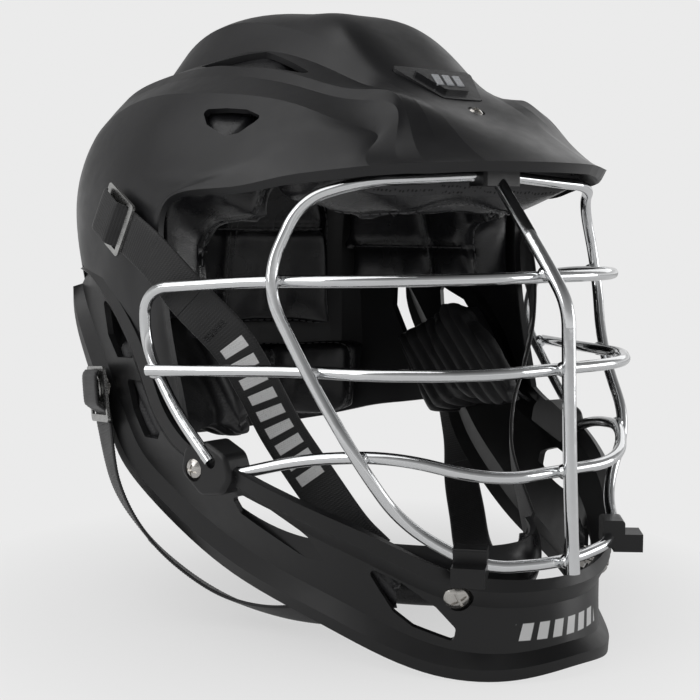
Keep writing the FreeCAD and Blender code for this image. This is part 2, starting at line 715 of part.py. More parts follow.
def webbing_loop():
    """The strap's end, threaded through the plate and laid over the cap."""
    line = fold_line()
    last = len(line) - 1
    half = strap_width / 2
    top, foot = [], []
    for side in (half, -half):
        upper, lower = [], []
        for index, point in enumerate(line):
            way = line[min(index + 1, last)] - line[max(index - 1, 0)]
            level = V(-way.z, 0, way.x)
            level.normalize()
            edge = point + V(0, side, 0)
            upper.append(edge + level * strap_thickness / 2)
            lower.append(edge - level * strap_thickness / 2)
        top.append(upper)
        foot.append(lower)
    return sheet_solid(top, foot)


def ribbon(start, outward, centres, facings, width, thickness):
    """A flat strap from its start points through a line of centres, each with its facing."""
    points = start + [placed(share) for share in centres]
    faces = [outward] * len(start) + [unit(facing) for facing in facings]
    outer = [[], []]
    inner = [[], []]
    last = len(points) - 1
    for index, (point, face) in enumerate(zip(points, faces)):
        way = points[min(index + 1, last)] - points[max(index - 1, 0)]
        across = way.cross(face)
        across.normalize()
        level = across.cross(way)
        level.normalize()
        for side, sign in ((0, 1), (1, -1)):
            edge = point + across * sign * width / 2
            outer[side].append(edge + level * thickness / 2)
            inner[side].append(edge - level * thickness / 2)
    return sheet_solid(outer, inner)


def strap_blocks():
    """Straight blocks that keep a room round the upper strap's runs beside the jaw."""
    points = [placed(share) for share in upper_strap_shares[:strap_block_count + 1]]
    blocks = []
    for start, end, facing in zip(points, points[1:], upper_strap_facing):
        way = end - start
        outward = unit(facing)
        turn = FreeCAD.Rotation(way, outward.cross(way), outward, "XZY")
        block = Part.makeBox(way.Length + 2 * strap_room, strap_width + 2 * strap_room,
                             strap_thickness + 2 * strap_room,
                             V(-strap_room, -strap_width / 2 - strap_room,
                               -strap_thickness / 2 - strap_room))
        block.Placement = FreeCAD.Placement(start, turn)
        blocks.append(block)
    return blocks


def head_net(rows):
    """Where lines from the head's centre to a net of points meet the head."""
    net = []
    centre = V(0, head_setback_share * shell_reach, 0)
    half = placed(head_shares)
    for row in rows:
        line = []
        for point in row:
            ray = point - centre
            rise = max(ray.z, 0.0)
            size = math.sqrt((ray.x / half.x) ** 2 + (ray.y / half.y) ** 2 + (rise / half.z) ** 2)
            drop = min(ray.z, 0.0)
            line.append(centre + V(ray.x / size, ray.y / size, rise / size + drop))
        net.append(line)
    return net


def liner_layer():
    """Everything between the shell's inner face and the wearer's head."""
    rows = crown_lines()
    normals = normals_of(rows, V(0, 0, 0))
    outer = moved_in(rows, normals, shell_wall + pad_clearance)
    centre_row = len(outer) // 2
    splits = []
    for line in shell_crease_lines:
        splits.append(centre_row - line)
        splits.append(centre_row + line)
    return sheet_solid(outer, head_net(outer), sorted(splits))


def band(points, axis, low, high):
    """A straight block on an outline of points in the plane square to an axis."""
    face = Part.Face(Part.makePolygon(points + [points[0]]))
    block = face.extrude(axis * (high - low))
    block.translate(axis * low)
    return block


def across_points(pairs):
    """Points in the XZ plane from shares of half width and crown height."""
    return [V(a * shell_half_width, 0, b * crown_height) for a, b in pairs]


def along_points(pairs):
    """Points in the YZ plane from shares of reach and crown height."""
    return [V(0, a * shell_reach, b * crown_height) for a, b in pairs]


def largest(shape):
    return max(shape.Solids, key=lambda solid: solid.Volume)


def make_pads(layer):
    """The six pads of the liner, cut from the layer with channels between them."""
    ahead = V(0, 1, 0)
    side = V(1, 0, 0)
    low = side_start_share * shell_reach
    high = side_end_share * shell_reach
    half_brow = brow_share * shell_half_width
    brow = band(along_points(brow_outline_shares), side, -half_brow, half_brow)
    crown = band(across_points(crown_outline_shares), ahead, low, high)
    side_pad = band(across_points(side_outline_shares), ahead, low, high)
    rear = band(across_points(rear_outline_shares), ahead, rear_start_share * shell_reach,
                shell_reach)
    nape = band(across_points(nape_outline_shares), ahead, high, shell_reach)
    return {"brow_pad": largest(layer.common(brow)), "crown_pad": largest(layer.common(crown)),
            "side_pad_left": largest(layer.common(side_pad)),
            "rear_pad": largest(layer.common(rear)), "nape_pad": largest(layer.common(nape))}


def guard_pad(stations, between_rows, thickness):
    """A pad on the inside of the guard, over a stretch of its stations and rows."""
    rows = guard_lines()
    normals = normals_of(rows, V(0, 0, -guard_swell))
    outer = moved_in(rows, normals, guard_wall + small_gap)
    inner = moved_in(rows, normals, guard_wall + small_gap + thickness)
    first, last = stations
    top, foot = between_rows
    outer = [row[first:last + 1] for row in outer[top:foot + 1]]
    inner = [row[first:last + 1] for row in inner[top:foot + 1]]
    return sheet_solid(outer, inner, list(range(1, len(outer) - 1)))


def jaw_pad(bosses, room):
    """The ribbed pad beside the jaw: a layer on the guard, with a part ahead of its edge."""
    depth = jaw_pad_depth_share * shell_reach
    inner = jaw_pad_inner_share * shell_half_width
    outer = jaw_pad_outer_share * shell_half_width
    layer = guard_pad(jaw_pad_stations, jaw_pad_rows, depth)
    seated = largest(layer.cut(bosses))
    outline = along_points(jaw_pad_shares)
    middle = (inner + outer) / 2
    points = [point + V(middle, 0, 0) for point in outline]
    half = (outer - inner) / 2
    block = rounded_prism(points, V(1, 0, 0), half, half, jaw_pad_corner)
    ahead = largest(block.cut(bosses + [room] + strap_blocks()))
    return largest(seated.fuse(ahead).removeSplitter())


def stood_off(share, distance):
    """A point from its shares, moved straight out from the helmet's upright axis."""
    point = placed(share)
    outward = V(point.x, point.y, 0)
    outward.normalize()
    return point + outward * distance


def frame_path():
    """The outer wire's path, from the wearer's right to the left, over the cross wires."""
    half = [stood_off(share, light_wire + weld_gap) for share in frame_wire_shares]
    return [mirrored(point) for point in half[:-1]] + list(reversed(half))


def centre_path():
    distance = (heavy_wire + light_wire) / 2 + weld_gap
    return [stood_off(share, distance) for share in centre_bar_shares]


def looped_path(shares, end_distance=0.0):
    """A wire path that crosses the centre line, its two ends moved out by a distance."""
    half = [placed(share) for share in shares[1:-1]] + [stood_off(shares[-1], end_distance)]
    return [mirrored(point) for point in reversed(half)] + half


def make_cage():
    """The five wires of the cage."""
    wires = {}
    wires["a_frame_bar"] = tube(frame_path(), light_wire)
    wires["centre_bar"] = tube(centre_path(), heavy_wire)
    wires["side_loop_bar"] = tube(looped_path(upper_bar_shares), light_wire)
    wires["middle_bar"] = tube(looped_path(middle_bar_shares, light_wire + weld_gap), light_wire)
    wires["lower_bar"] = tube(looped_path(lower_bar_shares), light_wire)
    return wires


def make_beads(wires):
    """Weld beads where the outer wires cross the horizontal ones."""
    beads = []
    frame = (route(frame_path()), light_wire, "a_frame_bar")
    centre = (route(centre_path()), heavy_wire, "centre_bar")
    loop = (route(looped_path(upper_bar_shares)), light_wire, "side_loop_bar")
    middle_path = looped_path(middle_bar_shares, light_wire + weld_gap)
    middle = (route(middle_path), light_wire, "middle_bar")
    lower = (route(looped_path(lower_bar_shares)), light_wire, "lower_bar")
    pairs = [(centre, loop), (centre, middle), (centre, lower), (centre, frame),
             (frame, loop), (frame, middle), (frame, lower), (middle, loop)]
    for (outer, outer_width, outer_name), (inner, inner_width, inner_name) in pairs:
        distance, links, info = outer.distToShape(inner)
        near, far = links[0]
        spot = far + (near - far) * (inner_width / (inner_width + outer_width))
        bead = Part.makeSphere(bead_radius, spot)
        bead = largest(bead.cut(wires[outer_name]).cut(wires[inner_name]))
        beads.append(bead)
        if abs(spot.x) > bead_radius:
            beads.append(flipped(bead))
    return Part.makeCompound(beads)


def clip_frame():
    """Placement at the chin clip with X along the wire and Y out of the guard."""
    path = frame_path()
    along = path[clip_corner - 1] - path[clip_corner]
    along = V(along.x, along.y, 0)
    along.normalize()
    outward = along.cross(V(0, 0, 1))
    if outward.y > 0:
        outward = outward * -1
    return along, outward


def chin_clip(guard_room, hole_base, hole_axis):
    """The saddle on the cage's bottom wire, bridged to a tab behind the guard."""
    along, outward = clip_frame()
    centre = placed(clip_station_share)
    middle = route(frame_path()).distToShape(Part.Vertex(centre))[1][0][0]
    turn = FreeCAD.Rotation(along, outward, V(0, 0, 1), "ZXY")
    half = clip_length / 2
    block = Part.makeBox(clip_length, 2 * clip_half_depth, 2 * clip_half_height,
                         V(-half, -clip_half_depth, -clip_half_height))
    runs = [edge for edge in block.Edges if abs(edge.tangentAt(0).x) > 0.5]
    block = block.makeFillet(clip_round, runs)
    back = -clip_half_depth - clip_bridge
    bridge = Part.makeBox(clip_length, clip_bridge + clip_half_depth, clip_bridge,
                          V(-half, back, -clip_bridge))
    reach = Part.makeBox(clip_length, 2 * cut_overrun, clip_tab_length,
                         V(-half, back - clip_half_depth, -clip_tab_length))
    body = block.fuse(bridge).removeSplitter()
    place = FreeCAD.Placement(middle, turn)
    body.Placement = place
    reach.Placement = place
    near = guard_wall + small_gap
    tab = largest(guard_wall_between(-near, near + clip_tab_thickness).common(reach))
    grip = guard_wall + clip_tab_thickness + small_gap
    hole = shank(screw_shank_radius + screw_clearance, 2 * cut_overrun)
    pocket = Part.makeCylinder(nut_radius + screw_clearance, cut_overrun, V(0, 0, -grip - cut_overrun))
    cuts = [turned_to(shape, hole_base, hole_axis) for shape in (hole, pocket)]
    return largest(body.cut(guard_room).fuse(tab).cut(cuts))


def wire_room(shares):
    """A bar's path thickened by its clearance, for the holes it enters."""
    path = looped_path(shares)
    width = light_wire + 2 * screw_clearance
    room = tube(path, width)
    return [room, ball_end(path[0], width), ball_end(path[-1], width)]


def jaw_boss():
    """The swelling on the guard's upper edge that the bars enter."""
    points = [placed(share) for share in boss_shares]
    axis = average_normal(points)
    if axis.x < 0:
        axis = axis * -1
    boss = rounded_prism(points, axis, boss_depth, boss_stand, boss_corner)
    top = max(boss.Faces, key=lambda face: face.CenterOfMass.dot(axis))
    return boss.makeFillet(boss_round, top.Edges)


def screw_set(wall, share, axis, scale, grip, nut_gap=None):
    """A screw, its nut where it has one, and the seat and hole that are cut for them."""
    outward = unit(axis)
    seat = outer_hit(wall, placed(share), outward, cut_overrun) - outward * guard_seam_gap
    radius = screw_shank_radius * scale
    length = grip if nut_gap is None else grip + nut_gap + nut_height
    head = screw(scale).fuse(shank(radius, length)).removeSplitter()
    head.translate(V(0, 0, weld_gap))
    nut = Part.makeCylinder(nut_radius * scale, nut_height, V(0, 0, -length))
    nut = nut.cut(shank(radius, 2 * length))
    recess = Part.makeCylinder(screw_head_radius * scale + screw_clearance, cut_overrun)
    hole = shank(radius + screw_clearance, cut_overrun)
    shapes = [turned_to(shape, seat, outward) for shape in (head, nut, recess, hole)]
    return shapes + [seat, outward]


def chin_cup_nets(outward, inward):
    """Nets of the chin cup's faces between two distances from its outer face."""
    rows = []
    for (back, height), narrow in zip(cup_row_shares, cup_narrow_shares):
        row = []
        for turn in range(-cup_columns, cup_columns + 1):
            swing = turn / cup_columns
            x = swing * cup_half_width * narrow
            y = (cup_front_share + back) * shell_reach + cup_wrap * (swing * narrow) ** 2
            row.append(V(x, y, height * crown_height))
        rows.append(row)
    middle = cup_row_shares[len(cup_row_shares) // 2][1]
    normals = normals_of(rows, V(0, 0, middle * crown_height))
    return moved_in(rows, normals, -outward), moved_in(rows, normals, inward)


def make_chin():
    """The chin cup and the pad inside it."""
    cup = sheet_solid(*chin_cup_nets(0.0, cup_wall))
    gap = small_gap
    outer, unused = chin_cup_nets(-cup_wall - gap, 0)
    unused, inner = chin_cup_nets(0, cup_wall + gap + cup_pad_thickness)
    outer = [row[1:-1] for row in outer]
    inner = [row[1:-1] for row in inner]
    return cup, sheet_solid(outer, inner)


def visor_clip(shell, metal):
    """The moulded clip under the visor that holds the wires' top ends."""
    top = centre_path()[0]
    half = visor_clip_width / 2
    block = Part.makeBox(visor_clip_width, visor_clip_depth, visor_clip_rise,
                         top - V(half, visor_clip_depth / 2, visor_clip_drop))
    sides = [edge for edge in block.Edges if abs(edge.tangentAt(0).z) > 0.5]
    block = block.makeFillet(strap_thickness, sides)
    lowered = shell.copy()
    lowered.translate(V(0, 0, -small_gap))
    pieces = block.cut(lowered).Solids
    lowest = min(pieces, key=lambda piece: piece.CenterOfMass.z)
    return largest(lowest.cut(metal))


def make_parts():
    """Every node by name."""
    made = {}
    room = guard_wall_between(small_gap, guard_wall + small_gap)
    shell = crown_wall()
    guard = guard_wall_between(0.0, guard_wall)
    wires = make_cage()

    boss = jaw_boss()
    above_boss = boss.copy()
    above_boss.translate(V(0, guard_seam_gap, guard_seam_gap))
    shell_cuts = guard_footprint(guard_seam_gap) + [room] + with_mirror(above_boss)
    shell_cuts += with_mirror(opening_cutter(crest_vent_shares, vent_corner))
    shell_cuts += with_mirror(opening_cutter(side_vent_shares, vent_corner))
    shell_cuts.append(badge_block(0, 1, cut_overrun, cut_overrun))

    badge_head, unused, recess, hole = screw_set(
        shell, badge_screw_share, badge_frame()[2], badge_screw_scale,
        shell_wall - guard_seam_gap)[:4]
    shell_cuts += [recess, hole]
    made["badge_plate"] = badge_block(screw_clearance, 1, shell_wall, -badge_sink).fuse(
        badge_block(screw_clearance, badge_panel_share, shell_wall, badge_sink)).removeSplitter()
    made["badge_screw"] = badge_head

    guard_cuts = []
    for shares in (rear_vent_shares, lower_vent_shares, jaw_slot_shares, chin_vent_shares):
        guard_cuts += with_mirror(opening_cutter(shares, vent_corner))
    guard = guard.fuse(with_mirror(boss))
    guard_cuts += wire_room(upper_bar_shares) + wire_room(lower_bar_shares)

    jaw = screw_set(guard, jaw_screw_share, jaw_screw_axis, jaw_screw_scale, boss_depth / 2)
    chin = screw_set(guard, chin_screw_share, chin_screw_axis, 1.0, guard_wall + clip_tab_thickness,
                     2 * small_gap)
    for found in (jaw, chin):
        guard_cuts += with_mirror(found[2]) + with_mirror(found[3])
    made["jaw_screws"] = Part.makeCompound(with_mirror(jaw[0]))
    made["chin_screws"] = Part.makeCompound(with_mirror(chin[0]))
    made["chin_nuts"] = Part.makeCompound(with_mirror(chin[1]))
    clip = largest(chin_clip(room, chin[4], chin[5]).cut(wires["a_frame_bar"]))
    made["chin_clip_left"] = clip
    made["chin_clip_right"] = flipped(clip)

    studs = []
    frames = {}
    for side, share, axis, way, wall, cuts in (
            ("upper", upper_snap_share, upper_snap_axis, upper_strap_way, shell, shell_cuts),
            ("lower", lower_snap_share, lower_snap_axis, lower_strap_way, guard, guard_cuts)):
        frame = snap_frame(share, axis, way, wall)
        studs += with_mirror(stood(snap_stud(), frame))
        cuts += with_mirror(stood(stud_seat(), frame))
        frames[side] = frame
        pieces = {"snap_cap": snap_cap(), "strap_plate": buckle(), "webbing_loop": webbing_loop()}
        for name, shape in pieces.items():
            left = stood(shape, frame)
            made[name + "_" + side + "_left"] = left
            made[name + "_" + side + "_right"] = flipped(left)
    made["snap_studs"] = Part.makeCompound(studs)

    made["crown_shell"] = largest(shell.cut(shell_cuts))
    made["jaw_guard"] = largest(guard.cut(guard_cuts))
    made.update(wires)
    made["weld_beads"] = make_beads(wires)
    made["visor_clip"] = visor_clip(shell, [wires["a_frame_bar"], wires["centre_bar"]])

    made.update(make_pads(liner_layer()))
    beside = guard_footprint(2 * guard_seam_gap)[0]
    beside.translate(V((side_room_share - 0.5) * shell_half_width, 0, 0))
    made["side_pad_left"] = largest(made["side_pad_left"].cut(beside))
    made["side_pad_right"] = flipped(made["side_pad_left"])
    chin_pad = guard_pad(chin_pad_stations, chin_pad_rows, chin_pad_thickness)
    behind = Part.makeBox(shell_half_width, 2 * shell_reach, 2 * crown_height,
                          V(0, chin_pad_end_share * shell_reach, -2 * crown_height))
    middle = Part.makeBox(chin_pad_start_share * shell_half_width, 2 * shell_reach,
                          2 * crown_height, V(0, -2 * shell_reach, -2 * crown_height))
    made["chin_guard_pad_left"] = largest(chin_pad.cut([behind, middle, room]))
    made["chin_cup"], made["chin_cup_pad"] = make_chin()
    for name, shares, facings in (("upper_strap", upper_strap_shares, upper_strap_facing),
                                  ("lower_strap", lower_strap_shares, lower_strap_facing)):
        frame = frames[name.split("_")[0]]
        line_end = fold_line()[-1]
        start = [frame.multVec(line_end + V(webbing_gap, 0, 0)),
                 frame.multVec(line_end + V(plate_bar, 0, 0))]
        outward = frame.Rotation.multVec(V(0, 0, 1))
        left = ribbon(start, outward, shares, facings, strap_width, strap_thickness)
        made[name + "_left"] = left
        made[name + "_right"] = flipped(left)

    made["jaw_pad_left"] = jaw_pad([above_boss, boss], room)
    for name in ("jaw_pad", "chin_guard_pad"):
        made[name + "_right"] = flipped(made[name + "_left"])
    return made


if __name__ == "__main__":
    os.makedirs("parts", exist_ok=True)
    for name, shape in make_parts().items():
        print(name, shape.isValid(), len(shape.Solids), round(shape.Volume / 1000, 2))
        shape.exportStep("parts/" + name + ".step")
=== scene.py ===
import bpy
import bmesh
import math
import numpy as np
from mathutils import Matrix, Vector


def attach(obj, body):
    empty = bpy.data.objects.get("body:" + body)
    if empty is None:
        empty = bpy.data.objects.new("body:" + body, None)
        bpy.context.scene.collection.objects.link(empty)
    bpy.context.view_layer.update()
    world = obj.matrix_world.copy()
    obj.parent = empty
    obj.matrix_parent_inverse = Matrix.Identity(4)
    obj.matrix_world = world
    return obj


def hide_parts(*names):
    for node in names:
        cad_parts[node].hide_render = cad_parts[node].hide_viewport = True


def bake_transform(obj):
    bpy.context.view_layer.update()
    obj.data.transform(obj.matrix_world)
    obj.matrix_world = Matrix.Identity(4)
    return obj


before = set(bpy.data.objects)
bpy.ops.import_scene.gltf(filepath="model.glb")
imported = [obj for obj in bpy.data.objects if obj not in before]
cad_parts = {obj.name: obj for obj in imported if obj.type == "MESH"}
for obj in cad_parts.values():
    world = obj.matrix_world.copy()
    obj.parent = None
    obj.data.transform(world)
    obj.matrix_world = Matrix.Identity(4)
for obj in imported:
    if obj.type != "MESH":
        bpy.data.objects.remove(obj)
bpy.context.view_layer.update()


# Crown shell: one injection moulding in black, with a visor, a crest and vents. Its mould is
# lightly spark-eroded, which leaves a fine satin grain, and handling rubs faint marks into it.
HALF_SHELL = (0.1165, 0.153, 0.153)
CROWN_BLACK = (0.011, 0.011, 0.012)
CROWN_SHEEN = 0.36
CROWN_GRAIN = 0.00022
NOISE_LOW = 0.3
NOISE_HIGH = 0.7


def new_finish(name):
    """A fresh material, its nodes, its links and the shader that every finish starts from."""
    finish = bpy.data.materials.new(name)
    finish.use_nodes = True
    tree = finish.node_tree
    return finish, tree.nodes, tree.links, tree.nodes["Principled BSDF"]


def place_on_part(nodes):
    """The place on the part in its own metres, so that grain keeps its size and moves with it."""
    return nodes.new("ShaderNodeTexCoord").outputs["Object"]


def grain_noise(nodes, links, place, size, detail):
    """Noise whose blotches are about this many metres across."""
    noise = nodes.new("ShaderNodeTexNoise")
    noise.inputs["Scale"].default_value = 1.0 / size
    noise.inputs["Detail"].default_value = detail
    links.new(place, noise.inputs["Vector"])
    return noise.outputs["Fac"]


def between(nodes, links, value, low, high, new_low, new_high):
    """A value between low and high, carried over to a new range and held inside it."""
    step = nodes.new("ShaderNodeMapRange")
    step.inputs["From Min"].default_value = low
    step.inputs["From Max"].default_value = high
    step.inputs["To Min"].default_value = new_low
    step.inputs["To Max"].default_value = new_high
    links.new(value, step.inputs["Value"])
    return step.outputs["Result"]


def over_noise(nodes, links, noise, new_low, new_high):
    """The range that most of a noise lies in, carried over to a new range."""
    return between(nodes, links, noise, NOISE_LOW, NOISE_HIGH, new_low, new_high)


def worked_out(nodes, links, operation, *terms):
    """A value worked out from others, each of them another step's output or a plain number."""
    step = nodes.new("ShaderNodeMath")
    step.operation = operation
    for place, term in enumerate(terms):
        if isinstance(term, float):
            step.inputs[place].default_value = term
        else:
            links.new(term, step.inputs[place])
    return step.outputs["Value"]


def shade(colour, times):
    """A colour, made this many times as bright."""
    return tuple(part * times for part in colour)


def two_tone(nodes, links, share, first, second):
    """Colour that goes from the first to the second with a share; either can be an output."""
    mix = nodes.new("ShaderNodeMix")
    mix.data_type = "RGBA"
    for socket, colour in (("A", first), ("B", second)):
        if isinstance(colour, tuple):
            mix.inputs[socket].default_value = (*colour, 1.0)
        else:
            links.new(colour, mix.inputs[socket])
    links.new(share, mix.inputs["Factor"])
    return mix.outputs["Result"]


def raised(nodes, links, height, depth, under=None):
    """Surface relief of a given depth in metres, on top of another relief if there is one."""
    relief = nodes.new("ShaderNodeBump")
    relief.inputs["Distance"].default_value = depth
    links.new(height, relief.inputs["Height"])
    if under is not None:
        links.new(under, relief.inputs["Normal"])
    return relief.outputs["Normal"]


def moulded_black(name, colour, sheen, grain):
    """Satin moulded plastic: spark-eroded grain, with slow waves in its colour and gloss."""
    finish, nodes, links, surface = new_finish(name)
    place = place_on_part(nodes)
    waves = grain_noise(nodes, links, place, size=0.045, detail=2.0)
    links.new(two_tone(nodes, links, between(nodes, links, waves, 0.35, 0.65, 0.0, 1.0),
                       colour, shade(colour, 1.3)), surface.inputs["Base Color"])
    handled = grain_noise(nodes, links, place, size=0.007, detail=5.0)
    gloss = over_noise(nodes, links, waves, sheen - 0.03, sheen + 0.04)
    worn = over_noise(nodes, links, handled, -0.03, 0.03)
    links.new(worked_out(nodes, links, "ADD", gloss, worn), surface.inputs["Roughness"])
    surface.inputs["Specular IOR Level"].default_value = 0.42
    fine = grain_noise(nodes, links, place, size=grain, detail=2.0)
    sink = grain_noise(nodes, links, place, size=0.012, detail=1.0)
    links.new(raised(nodes, links, fine, depth=0.000010,
                     under=raised(nodes, links, sink, depth=0.00008)), surface.inputs["Normal"])
    return finish


def finished(node, finish):
    """A part of the frame gets its finish in every one of its material slots."""
    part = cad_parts[node]
    if not part.data.materials:
        part.data.materials.append(finish)
    for slot in part.material_slots:
        slot.link = "OBJECT"
        slot.material = finish


crown_black = moulded_black("crown_black", CROWN_BLACK, CROWN_SHEEN, CROWN_GRAIN)
finished("crown_shell", crown_black)


# Badge: a small gloss plate set into the front of the crest, with three plain pale bars across
# its raised panel. One short domed steel screw below the panel holds the plate from the front.
BADGE_BLACK = (0.010, 0.010, 0.011)
BADGE_PALE = (0.42, 0.43, 0.45)
SCREW_STEEL = (0.62, 0.60, 0.57)
SCREW_SHEEN = 0.20
PANEL_SLOPE = math.radians(34.4)
PANEL_CENTRE = (0.0, -0.556 * HALF_SHELL[1], 0.703 * HALF_SHELL[2])
BAR_GAP = 0.0062
BAR_HALF_WIDTH = 0.0020
BAR_HALF_LENGTH = 0.0046
BAR_SLANT = 0.0014
BAR_BEVEL = 0.0003
BAR_FOOT = 0.0003
BAR_SHOULDER = 0.0011
BAR_TOP = 0.0014


def gloss_black(name, colour):
    """Polished moulded plastic with the slight ripple of its mould."""
    finish, nodes, links, surface = new_finish(name)
    place = place_on_part(nodes)
    ripple = grain_noise(nodes, links, place, size=0.009, detail=1.0)
    haze = grain_noise(nodes, links, place, size=0.0016, detail=3.0)
    links.new(two_tone(nodes, links, haze, colour, shade(colour, 1.5)),
              surface.inputs["Base Color"])
    links.new(over_noise(nodes, links, haze, 0.14, 0.24), surface.inputs["Roughness"])
    links.new(raised(nodes, links, ripple, depth=0.00008), surface.inputs["Normal"])
    return finish


def turned_steel(name, colour, sheen):
    """Plated steel, pressed or turned: fine scratches and a little dull tarnish."""
    finish, nodes, links, surface = new_finish(name)
    surface.inputs["Metallic"].default_value = 1.0
    place = place_on_part(nodes)
    scratches = grain_noise(nodes, links, place, size=0.0005, detail=4.0)
    tarnish = grain_noise(nodes, links, place, size=0.006, detail=3.0)
    darker = shade(colour, 0.82)
    links.new(two_tone(nodes, links, between(nodes, links, tarnish, 0.35, 0.6, 0.0, 1.0),
                       darker, colour), surface.inputs["Base Color"])
    links.new(over_noise(nodes, links, scratches, sheen - 0.06, sheen + 0.10),
              surface.inputs["Roughness"])
    links.new(raised(nodes, links, scratches, depth=0.000006), surface.inputs["Normal"])
    return finish


badge_gloss = gloss_black("badge_gloss", BADGE_BLACK)
screw_steel = turned_steel("screw_steel", SCREW_STEEL, SCREW_SHEEN)
finished("badge_plate", badge_gloss)
finished("badge_screw", screw_steel)


def pale_inlay(name, colour):
    """Pale enamel in the badge's raised panel, with a slight metal grain."""
    finish, nodes, links, surface = new_finish(name)
    place = place_on_part(nodes)
    grain = grain_noise(nodes, links, place, size=0.0008, detail=3.0)
    links.new(two_tone(nodes, links, grain, shade(colour, 0.85), colour),
              surface.inputs["Base Color"])
    links.new(over_noise(nodes, links, grain, 0.22, 0.34), surface.inputs["Roughness"])
    return finish


def linked(name, mesh):
    """A new piece of the helmet with this mesh."""
    piece = bpy.data.objects.new(name, mesh)
    bpy.context.scene.collection.objects.link(piece)
    return piece


def built(name, made):
    """A new piece of the helmet from the faces that were made for it."""
    mesh = bpy.data.meshes.new(name)
    made.normal_update()
    made.to_mesh(mesh)
    made.free()
    return linked(name, mesh)


def covered(piece, finish):
    """A piece gets one finish all over."""
    piece.data.materials.clear()
    piece.data.materials.append(finish)


def walled(made, rings):
    """Walls from each ring of points to the next, and a cap on the first and the last."""
    count = len(rings[0])
    for low, high in zip(rings[:-1], rings[1:]):
        for turn in range(count):
            after = (turn + 1) % count
            made.faces.new((low[turn], low[after], high[after], high[turn]))
    made.faces.new(list(reversed(rings[0])))
    made.faces.new(rings[-1])


def inlaid_bars(name):
    """Three plain slanted bars across the badge's panel, each with a bevelled top."""
    made = bmesh.new()
    centre = Vector(PANEL_CENTRE)
    rise = Vector((0.0, math.cos(PANEL_SLOPE), math.sin(PANEL_SLOPE)))
    outward = Vector((0.0, -math.sin(PANEL_SLOPE), math.cos(PANEL_SLOPE)))
    side = Vector((1.0, 0.0, 0.0))
    for middle in (-BAR_GAP, 0.0, BAR_GAP):
        rings = []
        for height, shrink in ((BAR_FOOT, 0.0), (BAR_SHOULDER, 0.0), (BAR_TOP, BAR_BEVEL)):
            ring = []
            for across, along in ((-1, -1), (1, -1), (1, 1), (-1, 1)):
                x = middle + across * (BAR_HALF_WIDTH - shrink) + along * BAR_SLANT
                y = along * (BAR_HALF_LENGTH - shrink)
                ring.append(made.verts.new(centre + side * x + rise * y + outward * height))
            rings.append(ring)
        walled(made, rings)
    return built(name, made)


badge_bars = inlaid_bars("badge_bars")
covered(badge_bars, pale_inlay("badge_inlay", BADGE_PALE))
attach(badge_bars, "helmet")


# Liner: stuffed pads of soft foam in gloss black vinyl, sewn round their rims, that sit between
# the shell and the head. The brow pad's front edge is bare foam with rows of small holes.
VINYL_BLACK = (0.008, 0.008, 0.009)
THREAD_GREY = (0.045, 0.045, 0.047)
BROW_FOAM = (0.045, 0.045, 0.047)
BROW_FACING = -0.55
BROW_FRONT = -0.090
BROW_LOW = 0.056
PAD_CELL = 0.0042
PAD_START = 0.0020
PAD_SWELL = 0.0026
COVER_PRESSURE = 4.0
COVER_FRAMES = 20
HEAD_SETBACK = 0.00505
HEAD_SIZES = (0.0820, 0.1001, 0.1310)
SEAM_OUT = 0.0075
SEAM_WIDTH = 0.0020
SEAM_SINK = 0.0016
SHORTEST_SEAM = 12
CHANNEL_WIDTH = SEAM_WIDTH * 1.6
CHANNEL_OUT = SEAM_OUT * 1.2
CHANNEL_SEWN_OUT = SEAM_OUT * 0.7
SHORTEST_CHANNEL = 6
THREAD_THICK = 0.00075
STITCH_PITCH = 0.0042
STITCH_SHARE = 0.78
STITCH_SIDES = 6
SHORTEST_STITCH = 0.3
# The channels across each pad: a point of each, the way across it, and how deep it is
LINER_CHANNELS = {
    "brow_pad": [((0.030, 0, 0), (1, 0, 0), 0.0016), ((-0.030, 0, 0), (1, 0, 0), 0.0016)],
    "crown_pad": [((0, 0, 0), (1, 0, 0), 0.0025), ((0, 0.012, 0), (0, 1, 0), 0.0025)],
    "rear_pad": [((0, 0, 0), (1, 0, 0), 0.0025), ((0, 0, 0.040), (0, 0, 1), 0.0025)],
    "nape_pad": [((0.028, 0, 0), (1, 0, 0), 0.0022), ((-0.028, 0, 0), (1, 0, 0), 0.0022)],
    "side_pad_left": [((0, 0.020, 0), (0, 1, 0), 0.0026), ((0, 0, 0.030), (0, 0, 1), 0.0026)],
}


def vinyl(name, colour):
    """Coated cloth over foam: fine leather grain, soft creases and a wet-looking gloss."""
    finish, nodes, links, surface = new_finish(name)
    place = place_on_part(nodes)
    cells = nodes.new("ShaderNodeTexVoronoi")
    cells.feature = "DISTANCE_TO_EDGE"
    cells.inputs["Scale"].default_value = 900.0
    links.new(place, cells.inputs["Vector"])
    pebble = between(nodes, links, cells.outputs["Distance"], 0.0, 0.25, 0.0, 1.0)
    creases = grain_noise(nodes, links, place, size=0.022, detail=2.0)
    links.new(two_tone(nodes, links, creases, colour, shade(colour, 1.8)),
              surface.inputs["Base Color"])
    links.new(over_noise(nodes, links, creases, 0.20, 0.30), surface.inputs["Roughness"])
    links.new(raised(nodes, links, pebble, depth=0.000045,
                     under=raised(nodes, links, creases, depth=0.0005)), surface.inputs["Normal"])
    return finish


def twisted_thread(name, colour):
    """Bonded polyester thread, slightly shiny, with a twist along its stitches."""
    finish, nodes, links, surface = new_finish(name)
    place = place_on_part(nodes)
    twist = grain_noise(nodes, links, place, size=0.0005, detail=2.0)
    links.new(two_tone(nodes, links, twist, colour, shade(colour, 2.0)),
              surface.inputs["Base Color"])
    surface.inputs["Roughness"].default_value = 0.5
    links.new(raised(nodes, links, twist, depth=0.0001), surface.inputs["Normal"])
    return finish


